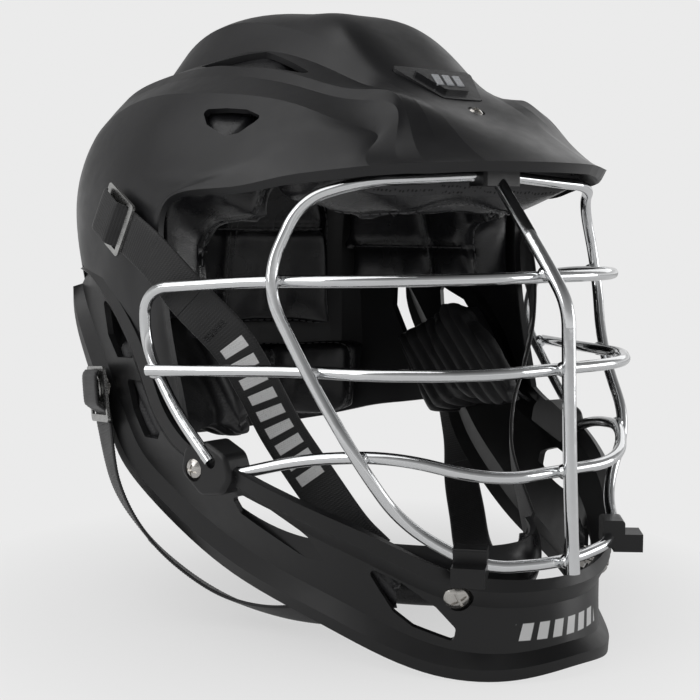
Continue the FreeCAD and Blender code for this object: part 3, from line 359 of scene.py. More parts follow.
def points_of(mesh):
    """A mesh's points as rows of x, y and z."""
    flat = np.empty(len(mesh.vertices) * 3)
    mesh.vertices.foreach_get("co", flat)
    return flat.reshape(-1, 3)


def set_points(mesh, points):
    """Move a mesh's points to these rows of x, y and z."""
    mesh.vertices.foreach_set("co", np.asarray(points, dtype=float).ravel())
    mesh.update()


def directions_of(mesh):
    """The way each point of a mesh faces."""
    flat = np.empty(len(mesh.vertices) * 3)
    mesh.vertices.foreach_get("normal", flat)
    return flat.reshape(-1, 3)


def apply_changes(pad):
    """A piece's modifiers become its own mesh."""
    seen = pad.evaluated_get(bpy.context.evaluated_depsgraph_get())
    made = bpy.data.meshes.new_from_object(seen)
    pad.modifiers.clear()
    pad.data = made


def cut_pad(name, node, cell, start):
    """The pad's foam block before it is covered: its rounded shape, a little under full size."""
    pad = linked(name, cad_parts[node].data.copy())
    pad.data.materials.clear()
    remesh = pad.modifiers.new("cells", "REMESH")
    remesh.mode = "VOXEL"
    remesh.voxel_size = cell
    apply_changes(pad)
    smooth = pad.modifiers.new("rounding", "SMOOTH")
    smooth.factor = 0.5
    smooth.iterations = 4
    apply_changes(pad)
    set_points(pad.data, points_of(pad.data) - directions_of(pad.data) * start)
    return pad


def stuff(pad, swell):
    """Blow the cover up like cloth over foam, and hold every point near where it started."""
    before = points_of(pad.data)
    outward = directions_of(pad.data)
    scene = bpy.context.scene
    cloth = pad.modifiers.new("cover", "CLOTH")
    cloth.settings.use_pressure = True
    cloth.settings.uniform_pressure_force = COVER_PRESSURE
    cloth.settings.effector_weights.gravity = 0.0
    cloth.settings.quality = 4
    cloth.point_cache.frame_start = 1
    cloth.point_cache.frame_end = COVER_FRAMES
    for number in range(1, COVER_FRAMES + 1):
        scene.frame_set(number)
    apply_changes(pad)
    scene.frame_set(1)
    moved = points_of(pad.data) - before
    length = np.maximum(np.linalg.norm(moved, axis=1), 1e-9)
    capped = moved * (np.minimum(length, swell) / length)[:, None]
    set_points(pad.data, before + capped)


def finer(pad):
    """The cover's smooth surface."""
    rounding = pad.modifiers.new("rounding", "SUBSURF")
    rounding.levels = 1
    rounding.render_levels = 1
    apply_changes(pad)
    for face in pad.data.polygons:
        face.use_smooth = True


def out_of_head(points):
    """How far each point stands out from the head form, in metres, along its ray."""
    ray = points - np.array((0.0, HEAD_SETBACK, 0.0))
    breadth, length, height = HEAD_SIZES
    rise = np.maximum(ray[:, 2], 0.0)
    share = np.sqrt((ray[:, 0] / breadth) ** 2 + (ray[:, 1] / length) ** 2 + (rise / height) ** 2)
    share = np.maximum(share, 1e-6)
    return np.linalg.norm(ray, axis=1) * (1.0 - 1.0 / share)


def sink_along(pad, values, level, width, depth):
    """Pull the cover in along the line where a value over its points takes one level."""
    points = points_of(pad.data)
    slack = np.exp(-((values - level) / width) ** 2)
    set_points(pad.data, points - directions_of(pad.data) * (slack * depth)[:, None])


def lines_at(pad, values, level):
    """The lines on the cover where a value over its points takes one level, as rows of points."""
    mesh = pad.data
    points = points_of(mesh)
    crossing = {}
    links_of = {}
    for face in mesh.polygons:
        ring = list(face.vertices)
        cuts = []
        for first, second in zip(ring, ring[1:] + ring[:1]):
            low, high = values[first] - level, values[second] - level
            if (low < 0) != (high < 0):
                key = (min(first, second), max(first, second))
                if key not in crossing:
                    share = low / (low - high)
                    crossing[key] = points[first] + (points[second] - points[first]) * share
                cuts.append(key)
        if len(cuts) == 2:
            links_of.setdefault(cuts[0], []).append(cuts[1])
            links_of.setdefault(cuts[1], []).append(cuts[0])
    lines = []
    left = set(links_of)
    while left:
        start = left.pop()
        line = [start]
        here = start
        while True:
            ahead = [key for key in links_of[here] if key in left]
            if not ahead:
                break
            here = ahead[0]
            left.discard(here)
            line.append(here)
        lines.append(np.array([crossing[key] for key in line]))
    return [line for line in lines if len(line) > SHORTEST_SEAM]


def at_even_pitch(line, pitch, fewest):
    """A line's rows at an even pitch, after how far along it each one is."""
    steps = np.linalg.norm(np.diff(line[:, :3], axis=0), axis=1)
    along = np.concatenate([[0.0], np.cumsum(steps)])
    count = max(fewest, int(round(along[-1] / pitch)))
    marks = np.linspace(0.0, along[-1], count + 1)
    return marks, np.column_stack([np.interp(marks, along, line[:, axis])
                                   for axis in range(line.shape[1])])


def closed_line(line, pitch):
    """A line that runs back to its first point, softened a little, at an even pitch."""
    line = np.vstack([line, line[:1]])
    for turn in range(3):
        line[1:-1] = (line[:-2] + 2 * line[1:-1] + line[2:]) / 4
    return at_even_pitch(line, pitch, 4)[1]


def thread_along(name, lines, thick, pitch):
    """One mesh of short rounded stitches that lie along the lines, each closed to a ring."""
    made = bmesh.new()
    for line in lines:
        places = closed_line(line, pitch)
        for start, end in zip(places[:-1], places[1:]):
            run = Vector(end) - Vector(start)
            length = run.length
            if length < pitch * SHORTEST_STITCH:
                continue
            way = run.normalized()
            across = way.orthogonal().normalized()
            up = way.cross(across)
            rings = []
            for place, width in ((0.0, 0.35), (0.12, 0.85), (0.5, 1.0), (0.88, 0.85), (1.0, 0.35)):
                centre = Vector(start) + way * length * (0.5 + (place - 0.5) * STITCH_SHARE)
                ring = []
                for turn in range(STITCH_SIDES):
                    angle = 2 * math.pi * turn / STITCH_SIDES
                    offset = (across * math.cos(angle) + up * math.sin(angle)) * thick / 2 * width
                    ring.append(made.verts.new(centre + offset))
                rings.append(ring)
            walled(made, rings)
    thread = built(name, made)
    for face in thread.data.polygons:
        face.use_smooth = True
    return thread


def other_side(piece, name):
    """The same piece on the wearer's other side."""
    mesh = piece.data.copy()
    points = points_of(mesh)
    points[:, 0] *= -1
    set_points(mesh, points)
    mesh.flip_normals()
    return linked(name, mesh)


vinyl_black = vinyl("vinyl_black", VINYL_BLACK)
pad_thread = twisted_thread("pad_thread", THREAD_GREY)


def sewn_pad(node, channels):
    """A covered liner pad with a seam round its rim, sewn channels across it, and its thread."""
    name = node + "_cover"
    pad = cut_pad(name, node, PAD_CELL, PAD_START)
    stuff(pad, PAD_SWELL)
    finer(pad)
    rim = out_of_head(points_of(pad.data))
    lines = lines_at(pad, rim, SEAM_OUT)
    sink_along(pad, rim, SEAM_OUT, SEAM_WIDTH, SEAM_SINK)
    for point, way, depth in channels:
        spread = (points_of(pad.data) - np.array(point)) @ np.array(way)
        facing = out_of_head(points_of(pad.data)) < CHANNEL_OUT
        across = lines_at(pad, spread, 0.0)
        sink_along(pad, np.where(facing, spread, 1.0), 0.0, CHANNEL_WIDTH, depth)
        for found in across:
            near = out_of_head(found) < CHANNEL_SEWN_OUT
            if near.sum() > SHORTEST_CHANNEL:
                lines.append(found[near])
    covered(pad, vinyl_black)
    thread = thread_along(node + "_stitches", lines, THREAD_THICK, STITCH_PITCH)
    covered(thread, pad_thread)
    return pad, thread


def fixed_in_shell(pad, thread, node):
    """A liner pad stays with the helmet and stands for its plain block."""
    for piece in (pad, thread):
        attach(piece, "helmet")
    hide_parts(node)


def bare_foam(name, colour):
    """Uncovered grey foam with rows of small punched holes, painted dark for their shade, as along
    the brow pad's front edge.
    """
    finish, nodes, links, surface = new_finish(name)
    place = place_on_part(nodes)
    holes = nodes.new("ShaderNodeTexVoronoi")
    holes.inputs["Scale"].default_value = 420.0
    holes.inputs["Randomness"].default_value = 0.35
    links.new(place, holes.inputs["Vector"])
    solid = between(nodes, links, holes.outputs["Distance"], 0.22, 0.34, 0.0, 1.0)
    # Painted shade: where the foam is not solid, the holes are coloured almost black for the shade
    # inside them
    links.new(two_tone(nodes, links, solid, shade(colour, 0.12), colour),
              surface.inputs["Base Color"])
    surface.inputs["Roughness"].default_value = 0.8
    links.new(raised(nodes, links, solid, depth=0.0004), surface.inputs["Normal"])
    return finish


for node, channels in LINER_CHANNELS.items():
    pad, thread = sewn_pad(node, channels)
    if node == "brow_pad":
        pad.data.materials.append(bare_foam("brow_foam", BROW_FOAM))
        for face in pad.data.polygons:
            front = face.normal.y < BROW_FACING and face.center.y < BROW_FRONT
            face.material_index = 1 if front and face.center.z > BROW_LOW else 0
    fixed_in_shell(pad, thread, node)
    if node == "side_pad_left":
        right_pad = other_side(pad, "side_pad_right_cover")
        right_thread = other_side(thread, "side_pad_right_stitches")
        fixed_in_shell(right_pad, right_thread, "side_pad_right")


# Jaw guard: a second moulding, slightly glossier, from behind the ears round the chin. It
# snaps under the crown shell's edge, and its bosses hold the ends of the cage's wires.
GUARD_BLACK = (0.0075, 0.0075, 0.008)
GUARD_SHEEN = 0.34
GUARD_GRAIN = 0.00026
PRINT_WHITE = (0.72, 0.72, 0.72)
CHIN_PRINT_LOW = -0.1310
CHIN_PRINT_HIGH = -0.1240
CHIN_PRINT_HALF = 0.0235
CHIN_PRINT_PITCH = 0.0075
CHIN_PRINT_SLANT = 0.35
CHIN_PRINT_DEPTH = -0.145
CHIN_DASH_SHARE = 0.62
CHIN_DASH_EDGE = 0.04
INK_EDGE = 0.0003


def dashes(nodes, links, along, pitch, share, edge):
    """Ink over this share of each pace along a print, which thins out over its far edge."""
    pace = worked_out(nodes, links, "FRACT", worked_out(nodes, links, "DIVIDE", along, pitch))
    return between(nodes, links, pace, share, share + edge, 1.0, 0.0)


def printed_over(nodes, links, base, ink, edges):
    """White ink over a colour, cut off at each of the edges that are given."""
    for value, low, high, before, after in edges:
        kept = between(nodes, links, value, low, high, before, after)
        ink = worked_out(nodes, links, "MULTIPLY", ink, kept)
    return two_tone(nodes, links, ink, base, PRINT_WHITE)


def print_chin(finish):
    """One row of plain slanted dashes printed across the front of the chin."""
    nodes, links = finish.node_tree.nodes, finish.node_tree.links
    parts = nodes.new("ShaderNodeSeparateXYZ")
    links.new(place_on_part(nodes), parts.inputs["Vector"])
    across, outward, upward = (parts.outputs[axis] for axis in "XYZ")
    slanted = worked_out(nodes, links, "MULTIPLY_ADD", upward, -CHIN_PRINT_SLANT, across)
    ink = dashes(nodes, links, slanted, CHIN_PRINT_PITCH, CHIN_DASH_SHARE, CHIN_DASH_EDGE)
    middle = worked_out(nodes, links, "ABSOLUTE", across)
    colour = nodes["Principled BSDF"].inputs["Base Color"]
    links.new(printed_over(nodes, links, colour.links[0].from_socket, ink, (
        (middle, CHIN_PRINT_HALF, CHIN_PRINT_HALF + INK_EDGE, 1.0, 0.0),
        (upward, CHIN_PRINT_LOW, CHIN_PRINT_LOW + INK_EDGE, 0.0, 1.0),
        (upward, CHIN_PRINT_HIGH, CHIN_PRINT_HIGH + INK_EDGE, 1.0, 0.0),
        (outward, CHIN_PRINT_DEPTH, CHIN_PRINT_DEPTH + 0.001, 1.0, 0.0))), colour)


guard_black = moulded_black("guard_black", GUARD_BLACK, GUARD_SHEEN, GUARD_GRAIN)
print_chin(guard_black)
finished("jaw_guard", guard_black)


# Jaw and chin pads: ribbed closed-cell foam in a thin skin, glued to the inside of the guard
# beside the jaw and above the chin, with long ribs that let them bend round the guard.
FOAM_BLACK = (0.013, 0.013, 0.014)
FOAM_CELL = 0.0030
FOAM_START = 0.0012
FOAM_SWELL = 0.0014
RIB_PITCH = 0.0078
RIB_SINK = 0.0022
RIBS_ACROSS = {"jaw_pad": (0.0, 0.72, -0.69), "chin_guard_pad": (0.5, 0.5, -0.7)}


def skinned_foam(name, colour):
    """Closed-cell foam with a pressed skin: dull, and finely pitted."""
    finish, nodes, links, surface = new_finish(name)
    place = place_on_part(nodes)
    pits = grain_noise(nodes, links, place, size=0.0011, detail=4.0)
    soft = grain_noise(nodes, links, place, size=0.010, detail=2.0)
    links.new(two_tone(nodes, links, soft, colour, shade(colour, 2.0)),
              surface.inputs["Base Color"])
    links.new(over_noise(nodes, links, soft, 0.40, 0.58), surface.inputs["Roughness"])
    links.new(raised(nodes, links, pits, depth=0.00022,
                     under=raised(nodes, links, soft, depth=0.0004)), surface.inputs["Normal"])
    return finish


foam_black = skinned_foam("foam_black", FOAM_BLACK)


def ribbed_pad(node, across):
    """A foam pad with long ribs pressed into it, spaced along one direction."""
    pad = cut_pad(node + "_skin", node, FOAM_CELL, FOAM_START)
    stuff(pad, FOAM_SWELL)
    finer(pad)
    way = np.array(across) / np.linalg.norm(across)
    spread = points_of(pad.data) @ way
    groove = (0.5 + 0.5 * np.cos(2 * math.pi * spread / RIB_PITCH)) ** 3
    set_points(pad.data, points_of(pad.data)
               - directions_of(pad.data) * (groove * RIB_SINK)[:, None])
    covered(pad, foam_black)
    return pad


for node, across in RIBS_ACROSS.items():
    left_pad = ribbed_pad(node + "_left", across)
    right_pad = other_side(left_pad, node + "_right_skin")
    for hand, pad in (("left", left_pad), ("right", right_pad)):
        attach(pad, "helmet")
        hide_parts(node + "_" + hand)


# Face cage: round steel wire, bent on a former, welded where it crosses and then chrome
# plated all over. The plating follows the wire's drawn surface and the lumps of the welds.
CHROME = (0.80, 0.81, 0.82)
WIRE_RIPPLE = 0.005
WIRE_RIPPLE_DEPTH = 0.00007
WELD_LUMP = 0.0016
WELD_LUMP_DEPTH = 0.00035


def chrome_plate(name, ripple, depth):
    """Bright plating with the faint ripple of the wire under it and a little wiping haze."""
    finish, nodes, links, surface = new_finish(name)
    surface.inputs["Metallic"].default_value = 1.0
    place = place_on_part(nodes)
    haze = grain_noise(nodes, links, place, size=0.006, detail=4.0)
    links.new(two_tone(nodes, links, haze, shade(CHROME, 0.90), CHROME),
              surface.inputs["Base Color"])
    links.new(over_noise(nodes, links, haze, 0.07, 0.15), surface.inputs["Roughness"])
    lumps = grain_noise(nodes, links, place, size=ripple, detail=2.0)
    links.new(raised(nodes, links, lumps, depth=depth), surface.inputs["Normal"])
    return finish


wire_chrome = chrome_plate("wire_chrome", WIRE_RIPPLE, WIRE_RIPPLE_DEPTH)
weld_chrome = chrome_plate("weld_chrome", WELD_LUMP, WELD_LUMP_DEPTH)
for wire in ("a_frame_bar", "centre_bar", "side_loop_bar", "middle_bar", "lower_bar"):
    finished(wire, wire_chrome)
finished("weld_beads", weld_chrome)


# Cage fixings: moulded clips hold the cage under the visor and on both sides of the chin.
# Domed steel screws with a cross recess go through the guard into nuts or bosses.
finished("visor_clip", guard_black)
for hand in ("left", "right"):
    finished("chin_clip_" + hand, guard_black)
for fixing in ("jaw_screws", "chin_screws", "chin_nuts", "snap_studs"):
    finished(fixing, screw_steel)


# Strap hardware: four pressed steel frames, each held by a snap cap on its stud. The caps and
# frames are nickel plated, with fine scratches and a little dull tarnish.
BUCKLE_STEEL = (0.52, 0.52, 0.51)
BUCKLE_SHEEN = 0.26

buckle_steel = turned_steel("buckle_steel", BUCKLE_STEEL, BUCKLE_SHEEN)
for level in ("upper", "lower"):
    for hand in ("left", "right"):
        finished("snap_cap_%s_%s" % (level, hand), buckle_steel)
        finished("strap_plate_%s_%s" % (level, hand), buckle_steel)


# Chin straps: woven black polyester webbing, 21 mm wide, laid over each snap cap and threaded
# down through its steel frame. The upper two are printed, and all four end at the chin cup.
WEBBING_BLACK = (0.0055, 0.0055, 0.006)
STRAP_WIDTH = 0.021
STRAP_THICK = 0.0016
RIB_LENGTH = 0.0014
RIB_HEIGHT = 0.00013
YARN_PITCH = 0.0011
WEBBING_EDGE = 0.0004
DASH_PITCH = 0.0085
DASH_SHARE = 0.58
DASH_EDGE = 0.03
DASH_HALF = 0.0062
PRINT_START = 0.100
PRINT_END = 0.177
PRINT_EDGE = 0.0004


def woven_polyester(name, colour, printed=None):
    """Tight black weave, slightly shiny, with painted highlights on its raised crossings and
    painted shade in its hollows, and plain dashes between two marks if it is printed.
    """
    finish, nodes, links, surface = new_finish(name)
    along = nodes.new("ShaderNodeUVMap")
    along.uv_map = "weave"
    parts = nodes.new("ShaderNodeSeparateXYZ")
    links.new(along.outputs["UV"], parts.inputs["Vector"])

    def wave(value, pitch):
        angle = worked_out(nodes, links, "MULTIPLY", value, 2 * math.pi / pitch)
        return worked_out(nodes, links, "SINE", angle)

    crossing = worked_out(nodes, links, "MULTIPLY", wave(parts.outputs["X"], RIB_LENGTH),
                          wave(parts.outputs["Y"], YARN_PITCH))
    height = between(nodes, links, crossing, -1.0, 1.0, 0.0, 1.0)
    place = place_on_part(nodes)
    fuzz = grain_noise(nodes, links, place, size=0.0006, detail=4.0)
    slow = grain_noise(nodes, links, place, size=0.02, detail=2.0)
    # Painted light: raised crossings of the weave are coloured lighter as a highlight, and its
    # hollows darker as shade
    base = two_tone(nodes, links, height, colour, shade(colour, 2.2))
    if printed is not None:
        first, last = printed
        ink = dashes(nodes, links, parts.outputs["X"], DASH_PITCH, DASH_SHARE, DASH_EDGE)
        middle = worked_out(nodes, links, "ABSOLUTE", parts.outputs["Y"])
        base = printed_over(nodes, links, base, ink, (
            (middle, DASH_HALF, DASH_HALF + INK_EDGE, 1.0, 0.0),
            (parts.outputs["X"], first, first + PRINT_EDGE, 0.0, 1.0),
            (parts.outputs["X"], last, last + PRINT_EDGE, 1.0, 0.0),
            (fuzz, 0.30, 0.42, 0.75, 1.0)))
    links.new(base, surface.inputs["Base Color"])
    links.new(over_noise(nodes, links, slow, 0.46, 0.62), surface.inputs["Roughness"])
    surface.inputs["Sheen Weight"].default_value = 0.25
    surface.inputs["Sheen Roughness"].default_value = 0.4
    links.new(raised(nodes, links, height, depth=0.00010,
                     under=raised(nodes, links, fuzz, depth=0.00006)), surface.inputs["Normal"])
    return finish


webbing_black = woven_polyester("webbing_black", WEBBING_BLACK)
webbing_printed = woven_polyester("webbing_printed", WEBBING_BLACK, (PRINT_START, PRINT_END))


def soft_line(points, pitch):
    """A smooth line through points, at an even pitch, after how far along it each step is."""
    points = np.array(points, dtype=float)
    padded = np.vstack([2 * points[0] - points[1], points, 2 * points[-1] - points[-2]])
    fine = []
    for index in range(1, len(padded) - 2):
        before, start, end, after = padded[index - 1:index + 3]
        for share in np.linspace(0.0, 1.0, 24, endpoint=False):
            square, cube = share * share, share ** 3
            fine.append(0.5 * (2 * start + (end - before) * share
                               + (2 * before - 5 * start + 4 * end - after) * square
                               + (3 * start - before - 3 * end + after) * cube))
    fine.append(padded[-2])
    return at_even_pitch(np.array(fine), pitch, 8)


def webbing_line(centres, facings):
    """A strap's centre and facing at each small step, after how far along it each step is."""
    rows = [tuple(centre) + tuple(facing) for centre, facing in zip(centres, facings)]
    return soft_line(rows, RIB_LENGTH / 3)


def webbing(name, marks, line, first, last, finish):
    """A stretch of woven strap between two steps of its line, with ribs and rounded edges."""
    made = bmesh.new()
    half = STRAP_WIDTH / 2
    thick = STRAP_THICK / 2
    section = [(-half, 0.0), (-half + WEBBING_EDGE, 0.75), (-half * 0.86, 0.92),
               (-half * 0.5, 1.0), (0.0, 1.0), (half * 0.5, 1.0), (half * 0.86, 0.92),
               (half - WEBBING_EDGE, 0.75)]
    section += [(half, 0.0)] + [(-across, -rise) for across, rise in section[1:]]
    rings = []
    end = len(line) - 1
    for index in range(first, last + 1):
        centre = Vector(line[index][:3])
        way = Vector(line[min(index + 1, end)][:3]) - Vector(line[max(index - 1, 0)][:3])
        across = way.cross(Vector(line[index][3:6])).normalized()
        level = across.cross(way).normalized()
        rib = RIB_HEIGHT * math.sin(2 * math.pi * marks[index] / RIB_LENGTH)
        ring = []
        for side, rise in section:
            height = rise * (thick + rib)
            ring.append(made.verts.new(centre + across * side + level * height))
        rings.append(ring)
    layer = made.loops.layers.uv.new("weave")
    count = len(section)
    for index in range(last - first):
        for turn in range(count):
            after = (turn + 1) % count
            face = made.faces.new((rings[index][turn], rings[index][after],
                                   rings[index + 1][after], rings[index + 1][turn]))
            face.smooth = True
            corners = ((0, turn), (0, after), (1, after), (1, turn))
            for loop, (step, spot) in zip(face.loops, corners):
                loop[layer].uv = (marks[first + index + step], section[spot][0])
    made.faces.new(list(reversed(rings[0])))
    made.faces.new(rings[-1])
    piece = built(name, made)
    covered(piece, finish)
    return piece


# Where each stud stands on the wearer's left, which way it points, and where its strap leaves
SNAPS = {
    "upper": {"base": (0.11584, 0.01348, 0.04613), "axis": (0.993, -0.020, 0.120),
              "way": (0.037, -0.891, -0.453)},
    "lower": {"base": (0.11131, 0.03975, -0.03676), "axis": (0.987, 0.150, -0.050),
              "way": (-0.034, -0.105, -0.994)},
}
# The strap's way from the fold to the cup, as shares of half the shell, and the way it faces
STRAP_RUNS = {
    "upper": [((0.995, -0.120, 0.185), (0.97, -0.20, 0.10)),
              ((0.925, -0.225, 0.070), (0.88, -0.45, 0.10)),
              ((0.810, -0.315, -0.060), (0.82, -0.56, 0.05)),
              ((0.720, -0.350, -0.190), (0.78, -0.62, 0.0)),
              ((0.625, -0.370, -0.330), (0.74, -0.67, 0.0)),
              ((0.530, -0.440, -0.480), (0.70, -0.72, 0.0)),
              ((0.465, -0.540, -0.610), (0.80, -0.60, 0.0)),
              ((0.412, -0.615, -0.680), (0.88, -0.47, 0.0))],
    "lower": [((0.965, 0.190, -0.540), (0.92, 0.20, -0.33)),
              ((0.900, 0.120, -0.680), (0.75, 0.20, -0.62)),
              ((0.810, 0.010, -0.790), (0.55, 0.10, -0.82)),
              ((0.690, -0.120, -0.875), (0.45, 0.0, -0.89)),
              ((0.575, -0.270, -0.905), (0.45, -0.20, -0.87)),
              ((0.480, -0.430, -0.885), (0.60, -0.35, -0.70)),
              ((0.430, -0.560, -0.830), (0.80, -0.45, -0.40)),
              ((0.412, -0.615, -0.785), (0.88, -0.46, -0.10))],
}
# The webbing's way over the cap, down through the frame's slot and under its front bar, as
# places along the strap and up from the stud's seat, then the way it faces there
FOLD_LINE = [((-0.0089, 0.0063), (-0.55, 0.85)), ((-0.0066, 0.0079), (-0.35, 0.93)),
             ((0.0, 0.0083), (0.0, 1.0)), ((0.0062, 0.0083), (0.15, 1.0)),
             ((0.0080, 0.0075), (0.6, 0.8)), ((0.0107, 0.0043), (0.75, 0.65)),
             ((0.0122, 0.0029), (0.5, 0.85)), ((0.0138, 0.0027), (0.1, 1.0)),
             ((0.0185, 0.0027), (0.0, 1.0))]
FOLD_END = 0.0181
NECK_END = 0.034
FREE_START = 0.062
TACK_PLACE = 0.092
TACK_WIDTH = STRAP_WIDTH * 0.8
TACK_ROW_GAP = 0.0011
TACK_POINTS = 15
TACK_LIFT = 0.00095
TACK_THREAD = 0.0006
TACK_PITCH = 0.0026


def snap_point(snap, along, height):
    """A place given along the strap's way and up from the stud's seat."""
    axis = Vector(snap["axis"]).normalized()
    way = Vector(snap["way"])
    way = (way - axis * way.dot(axis)).normalized()
    return Vector(snap["base"]) + way * along + axis * height


def snap_facing(snap, along, height):
    """The way the webbing faces, given along the strap's way and up from the stud's seat."""
    return (snap_point(snap, along, height) - Vector(snap["base"])).normalized()


def step_past(line, snap, distance):
    """The first step of a strap's line that is this far from its stud."""
    base = Vector(snap["base"])
    for index in range(len(line) // 8, len(line)):
        if (Vector(line[index][:3]) - base).length > distance:
            return index
    return len(line) - 1


def bar_tack(name, line, marks):
    """Three close rows of stitches across a strap, where its doubled end is sewn down."""
    rows = []
    for row in range(3):
        index = int(np.searchsorted(marks, TACK_PLACE + row * TACK_ROW_GAP))
        centre = Vector(line[index][:3])
        way = Vector(line[index + 1][:3]) - Vector(line[index - 1][:3])
        across = way.cross(Vector(line[index][3:6])).normalized()
        level = across.cross(way).normalized()
        rows.append(np.array([centre + across * side * TACK_WIDTH + level * TACK_LIFT
                              for side in np.linspace(-0.5, 0.5, TACK_POINTS)]))
    return thread_along(name, rows, TACK_THREAD, TACK_PITCH)


for level, snap in SNAPS.items():
    centres = [snap_point(snap, *place) for place, facing in FOLD_LINE]
    facings = [snap_facing(snap, *facing) for place, facing in FOLD_LINE]
    for share, facing in STRAP_RUNS[level]:
        centres.append(Vector([part * size for part, size in zip(share, HALF_SHELL)]))
        facings.append(Vector(facing).normalized())
    marks, line = webbing_line(centres, facings)
    fold_end = step_past(line, snap, FOLD_END)
    neck_end = step_past(line, snap, NECK_END)
    free_start = step_past(line, snap, FREE_START)
    last = len(line) - 1
    finish = webbing_printed if level == "upper" else webbing_black
    left = {}
    for stretch, start, end in (("fold", 0, fold_end), ("neck", fold_end, neck_end),
                                ("middle", neck_end, free_start), ("lower", free_start, last)):
        name = "webbing_%s_%s_left" % (stretch, level)
        left[stretch] = webbing(name, marks, line, start, end, finish)
    left["tack"] = bar_tack("webbing_tack_%s_left" % level, line, marks)
    covered(left["tack"], pad_thread)
    right = {stretch: other_side(piece, piece.name.replace("left", "right"))
             for stretch, piece in left.items()}
    for hand, sign, pieces in (("left", 1, left), ("right", -1, right)):
        tag = "%s_%s" % (level, hand)
        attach(pieces["fold"], "plate_" + tag)
        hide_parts("webbing_loop_" + tag)
        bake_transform(pieces["neck"])
        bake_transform(pieces["middle"])
        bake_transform(pieces["lower"])
        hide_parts("%s_strap_%s" % (level, hand))
        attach(pieces["tack"], "helmet")


# Chin cup: a moulded black cup that the four straps end in, with a soft vinyl pad inside it.
CUP_BLACK = (0.014, 0.014, 0.015)
CUP_SHEEN = 0.30
CUP_GRAIN = 0.0004
CUP_PAD_CELL = 0.0022
CUP_PAD_START = 0.0008
CUP_PAD_SWELL = 0.0009

cup_black = moulded_black("cup_black", CUP_BLACK, CUP_SHEEN, CUP_GRAIN)
finished("chin_cup", cup_black)

cup_pad = cut_pad("chin_cup_pad_cover", "chin_cup_pad", CUP_PAD_CELL, CUP_PAD_START)
stuff(cup_pad, CUP_PAD_SWELL)
finer(cup_pad)
covered(cup_pad, vinyl_black)
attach(cup_pad, "cup")
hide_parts("chin_cup_pad")


# Studio: pale paper under the helmet that runs on into a pale backdrop, a surround that is pale
# low down and dark above for the chrome and gloss to mirror, soft lamps, and the camera.
PAPER = (0.83, 0.83, 0.83)
BACKDROP = (0.83, 0.83, 0.83)
PAPER_REACH = 6.0
FLOOR_LEVEL = -0.1475
FADE_START = 0.13
FADE_END = 0.27
FADE_NEAR = 0.60
BOUNCE_SHARE = 0.28
SURROUND_LOW = 0.80
SURROUND_MIDDLE = 0.36
SURROUND_TOP = 0.05
SURROUND_KNEE = 0.30


def paper(name):
    """Matt pale paper that takes the helmet's shadow and fades into the backdrop further out."""
    finish, nodes, links, surface = new_finish(name)
    place = place_on_part(nodes)
    fibre = grain_noise(nodes, links, place, size=0.004, detail=3.0)
    links.new(two_tone(nodes, links, fibre, PAPER, shade(PAPER, 1.01)),
              surface.inputs["Base Color"])
    surface.inputs["Roughness"].default_value = 0.9
    away = nodes.new("ShaderNodeVectorMath")
    away.operation = "LENGTH"
    links.new(place, away.inputs[0])
    faded = between(nodes, links, away.outputs["Value"], FADE_START, FADE_END, FADE_NEAR, 1.0)
    looked_at = nodes.new("ShaderNodeLightPath")
    share = between(nodes, links, looked_at.outputs["Is Camera Ray"], 0.0, 1.0, BOUNCE_SHARE, 1.0)
    far = nodes.new("ShaderNodeEmission")
    far.inputs["Color"].default_value = (*BACKDROP, 1.0)
    blend = nodes.new("ShaderNodeMixShader")
    links.new(worked_out(nodes, links, "MULTIPLY", faded, share), blend.inputs["Fac"])
    links.new(surface.outputs["BSDF"], blend.inputs[1])
    links.new(far.outputs["Emission"], blend.inputs[2])
    links.new(blend.outputs["Shader"], nodes["Material Output"].inputs["Surface"])
    return finish


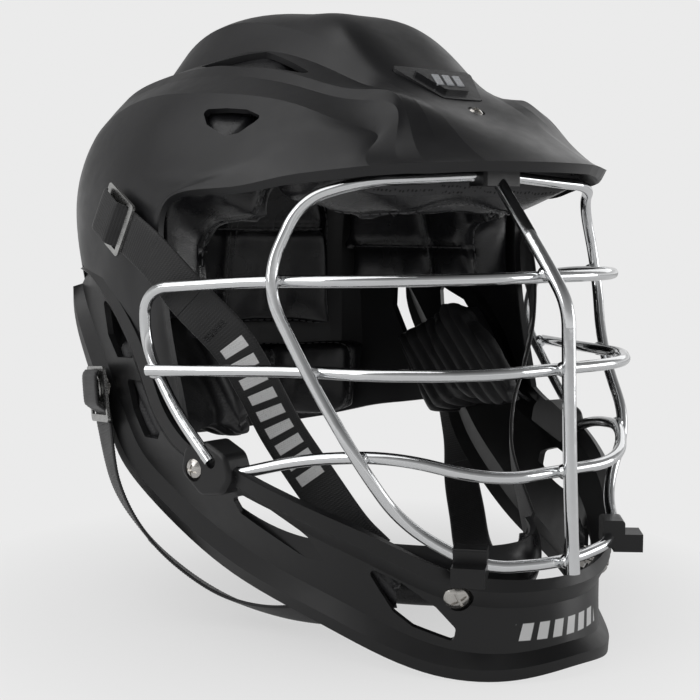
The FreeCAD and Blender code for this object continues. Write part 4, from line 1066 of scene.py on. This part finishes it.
sweep = bpy.data.meshes.new("paper_sweep")
corners = [(across * PAPER_REACH, along * PAPER_REACH, FLOOR_LEVEL)
           for across, along in ((-1, -1), (1, -1), (1, 1), (-1, 1))]
sweep.from_pydata(corners, [], [(0, 1, 2, 3)])
floor = linked("paper_sweep", sweep)
covered(floor, paper("pale_paper"))

world = bpy.data.worlds.new("studio")
bpy.context.scene.world = world
world.use_nodes = True
air = world.node_tree
sky = air.nodes["Background"]
way = air.nodes.new("ShaderNodeTexCoord")
height = air.nodes.new("ShaderNodeSeparateXYZ")
air.links.new(way.outputs["Generated"], height.inputs["Vector"])
surround = air.nodes.new("ShaderNodeValToRGB")
surround.color_ramp.elements.new(SURROUND_KNEE)
for step, grey in zip(surround.color_ramp.elements, (SURROUND_LOW, SURROUND_MIDDLE, SURROUND_TOP)):
    step.color = (grey, grey, grey, 1.0)
air.links.new(height.outputs["Z"], surround.inputs["Fac"])
rays = air.nodes.new("ShaderNodeLightPath")
air.links.new(two_tone(air.nodes, air.links, rays.outputs["Is Camera Ray"],
                       surround.outputs["Color"], BACKDROP), sky.inputs["Color"])
sky.inputs["Strength"].default_value = 1.0


def soft_lamp(name, place, size, power):
    """A soft box that faces the helmet."""
    light = bpy.data.lights.new(name, "AREA")
    light.shape = "SQUARE"
    light.size = size
    light.energy = power
    lamp = bpy.data.objects.new(name, light)
    bpy.context.scene.collection.objects.link(lamp)
    lamp.location = place
    lamp.rotation_euler = (-Vector(place)).to_track_quat("-Z", "Y").to_euler()


soft_lamp("overhead_box", (-0.9, 0.3, 1.7), 2.0, 15.0)
soft_lamp("left_box", (-1.5, 0.2, 0.7), 0.8, 5.0)
soft_lamp("right_box", (1.4, 0.45, 0.75), 0.9, 2.0)
soft_lamp("front_box", (1.25, -0.95, 0.05), 0.9, 6.0)

camera_data = bpy.data.cameras.new("photo_camera")
camera_data.lens = 66.75
camera_data.sensor_width = 36.0
camera_data.sensor_fit = "HORIZONTAL"
camera_data.clip_start = 0.01
camera = bpy.data.objects.new("photo_camera", camera_data)
bpy.context.scene.collection.objects.link(camera)
camera.location = (-0.4015, -0.5362, 0.0444)
camera.rotation_euler = (math.radians(90.0 - 5.665), 0.0, math.radians(-37.45))
bpy.context.scene.camera = camera
bpy.context.scene.view_settings.view_transform = "Standard"
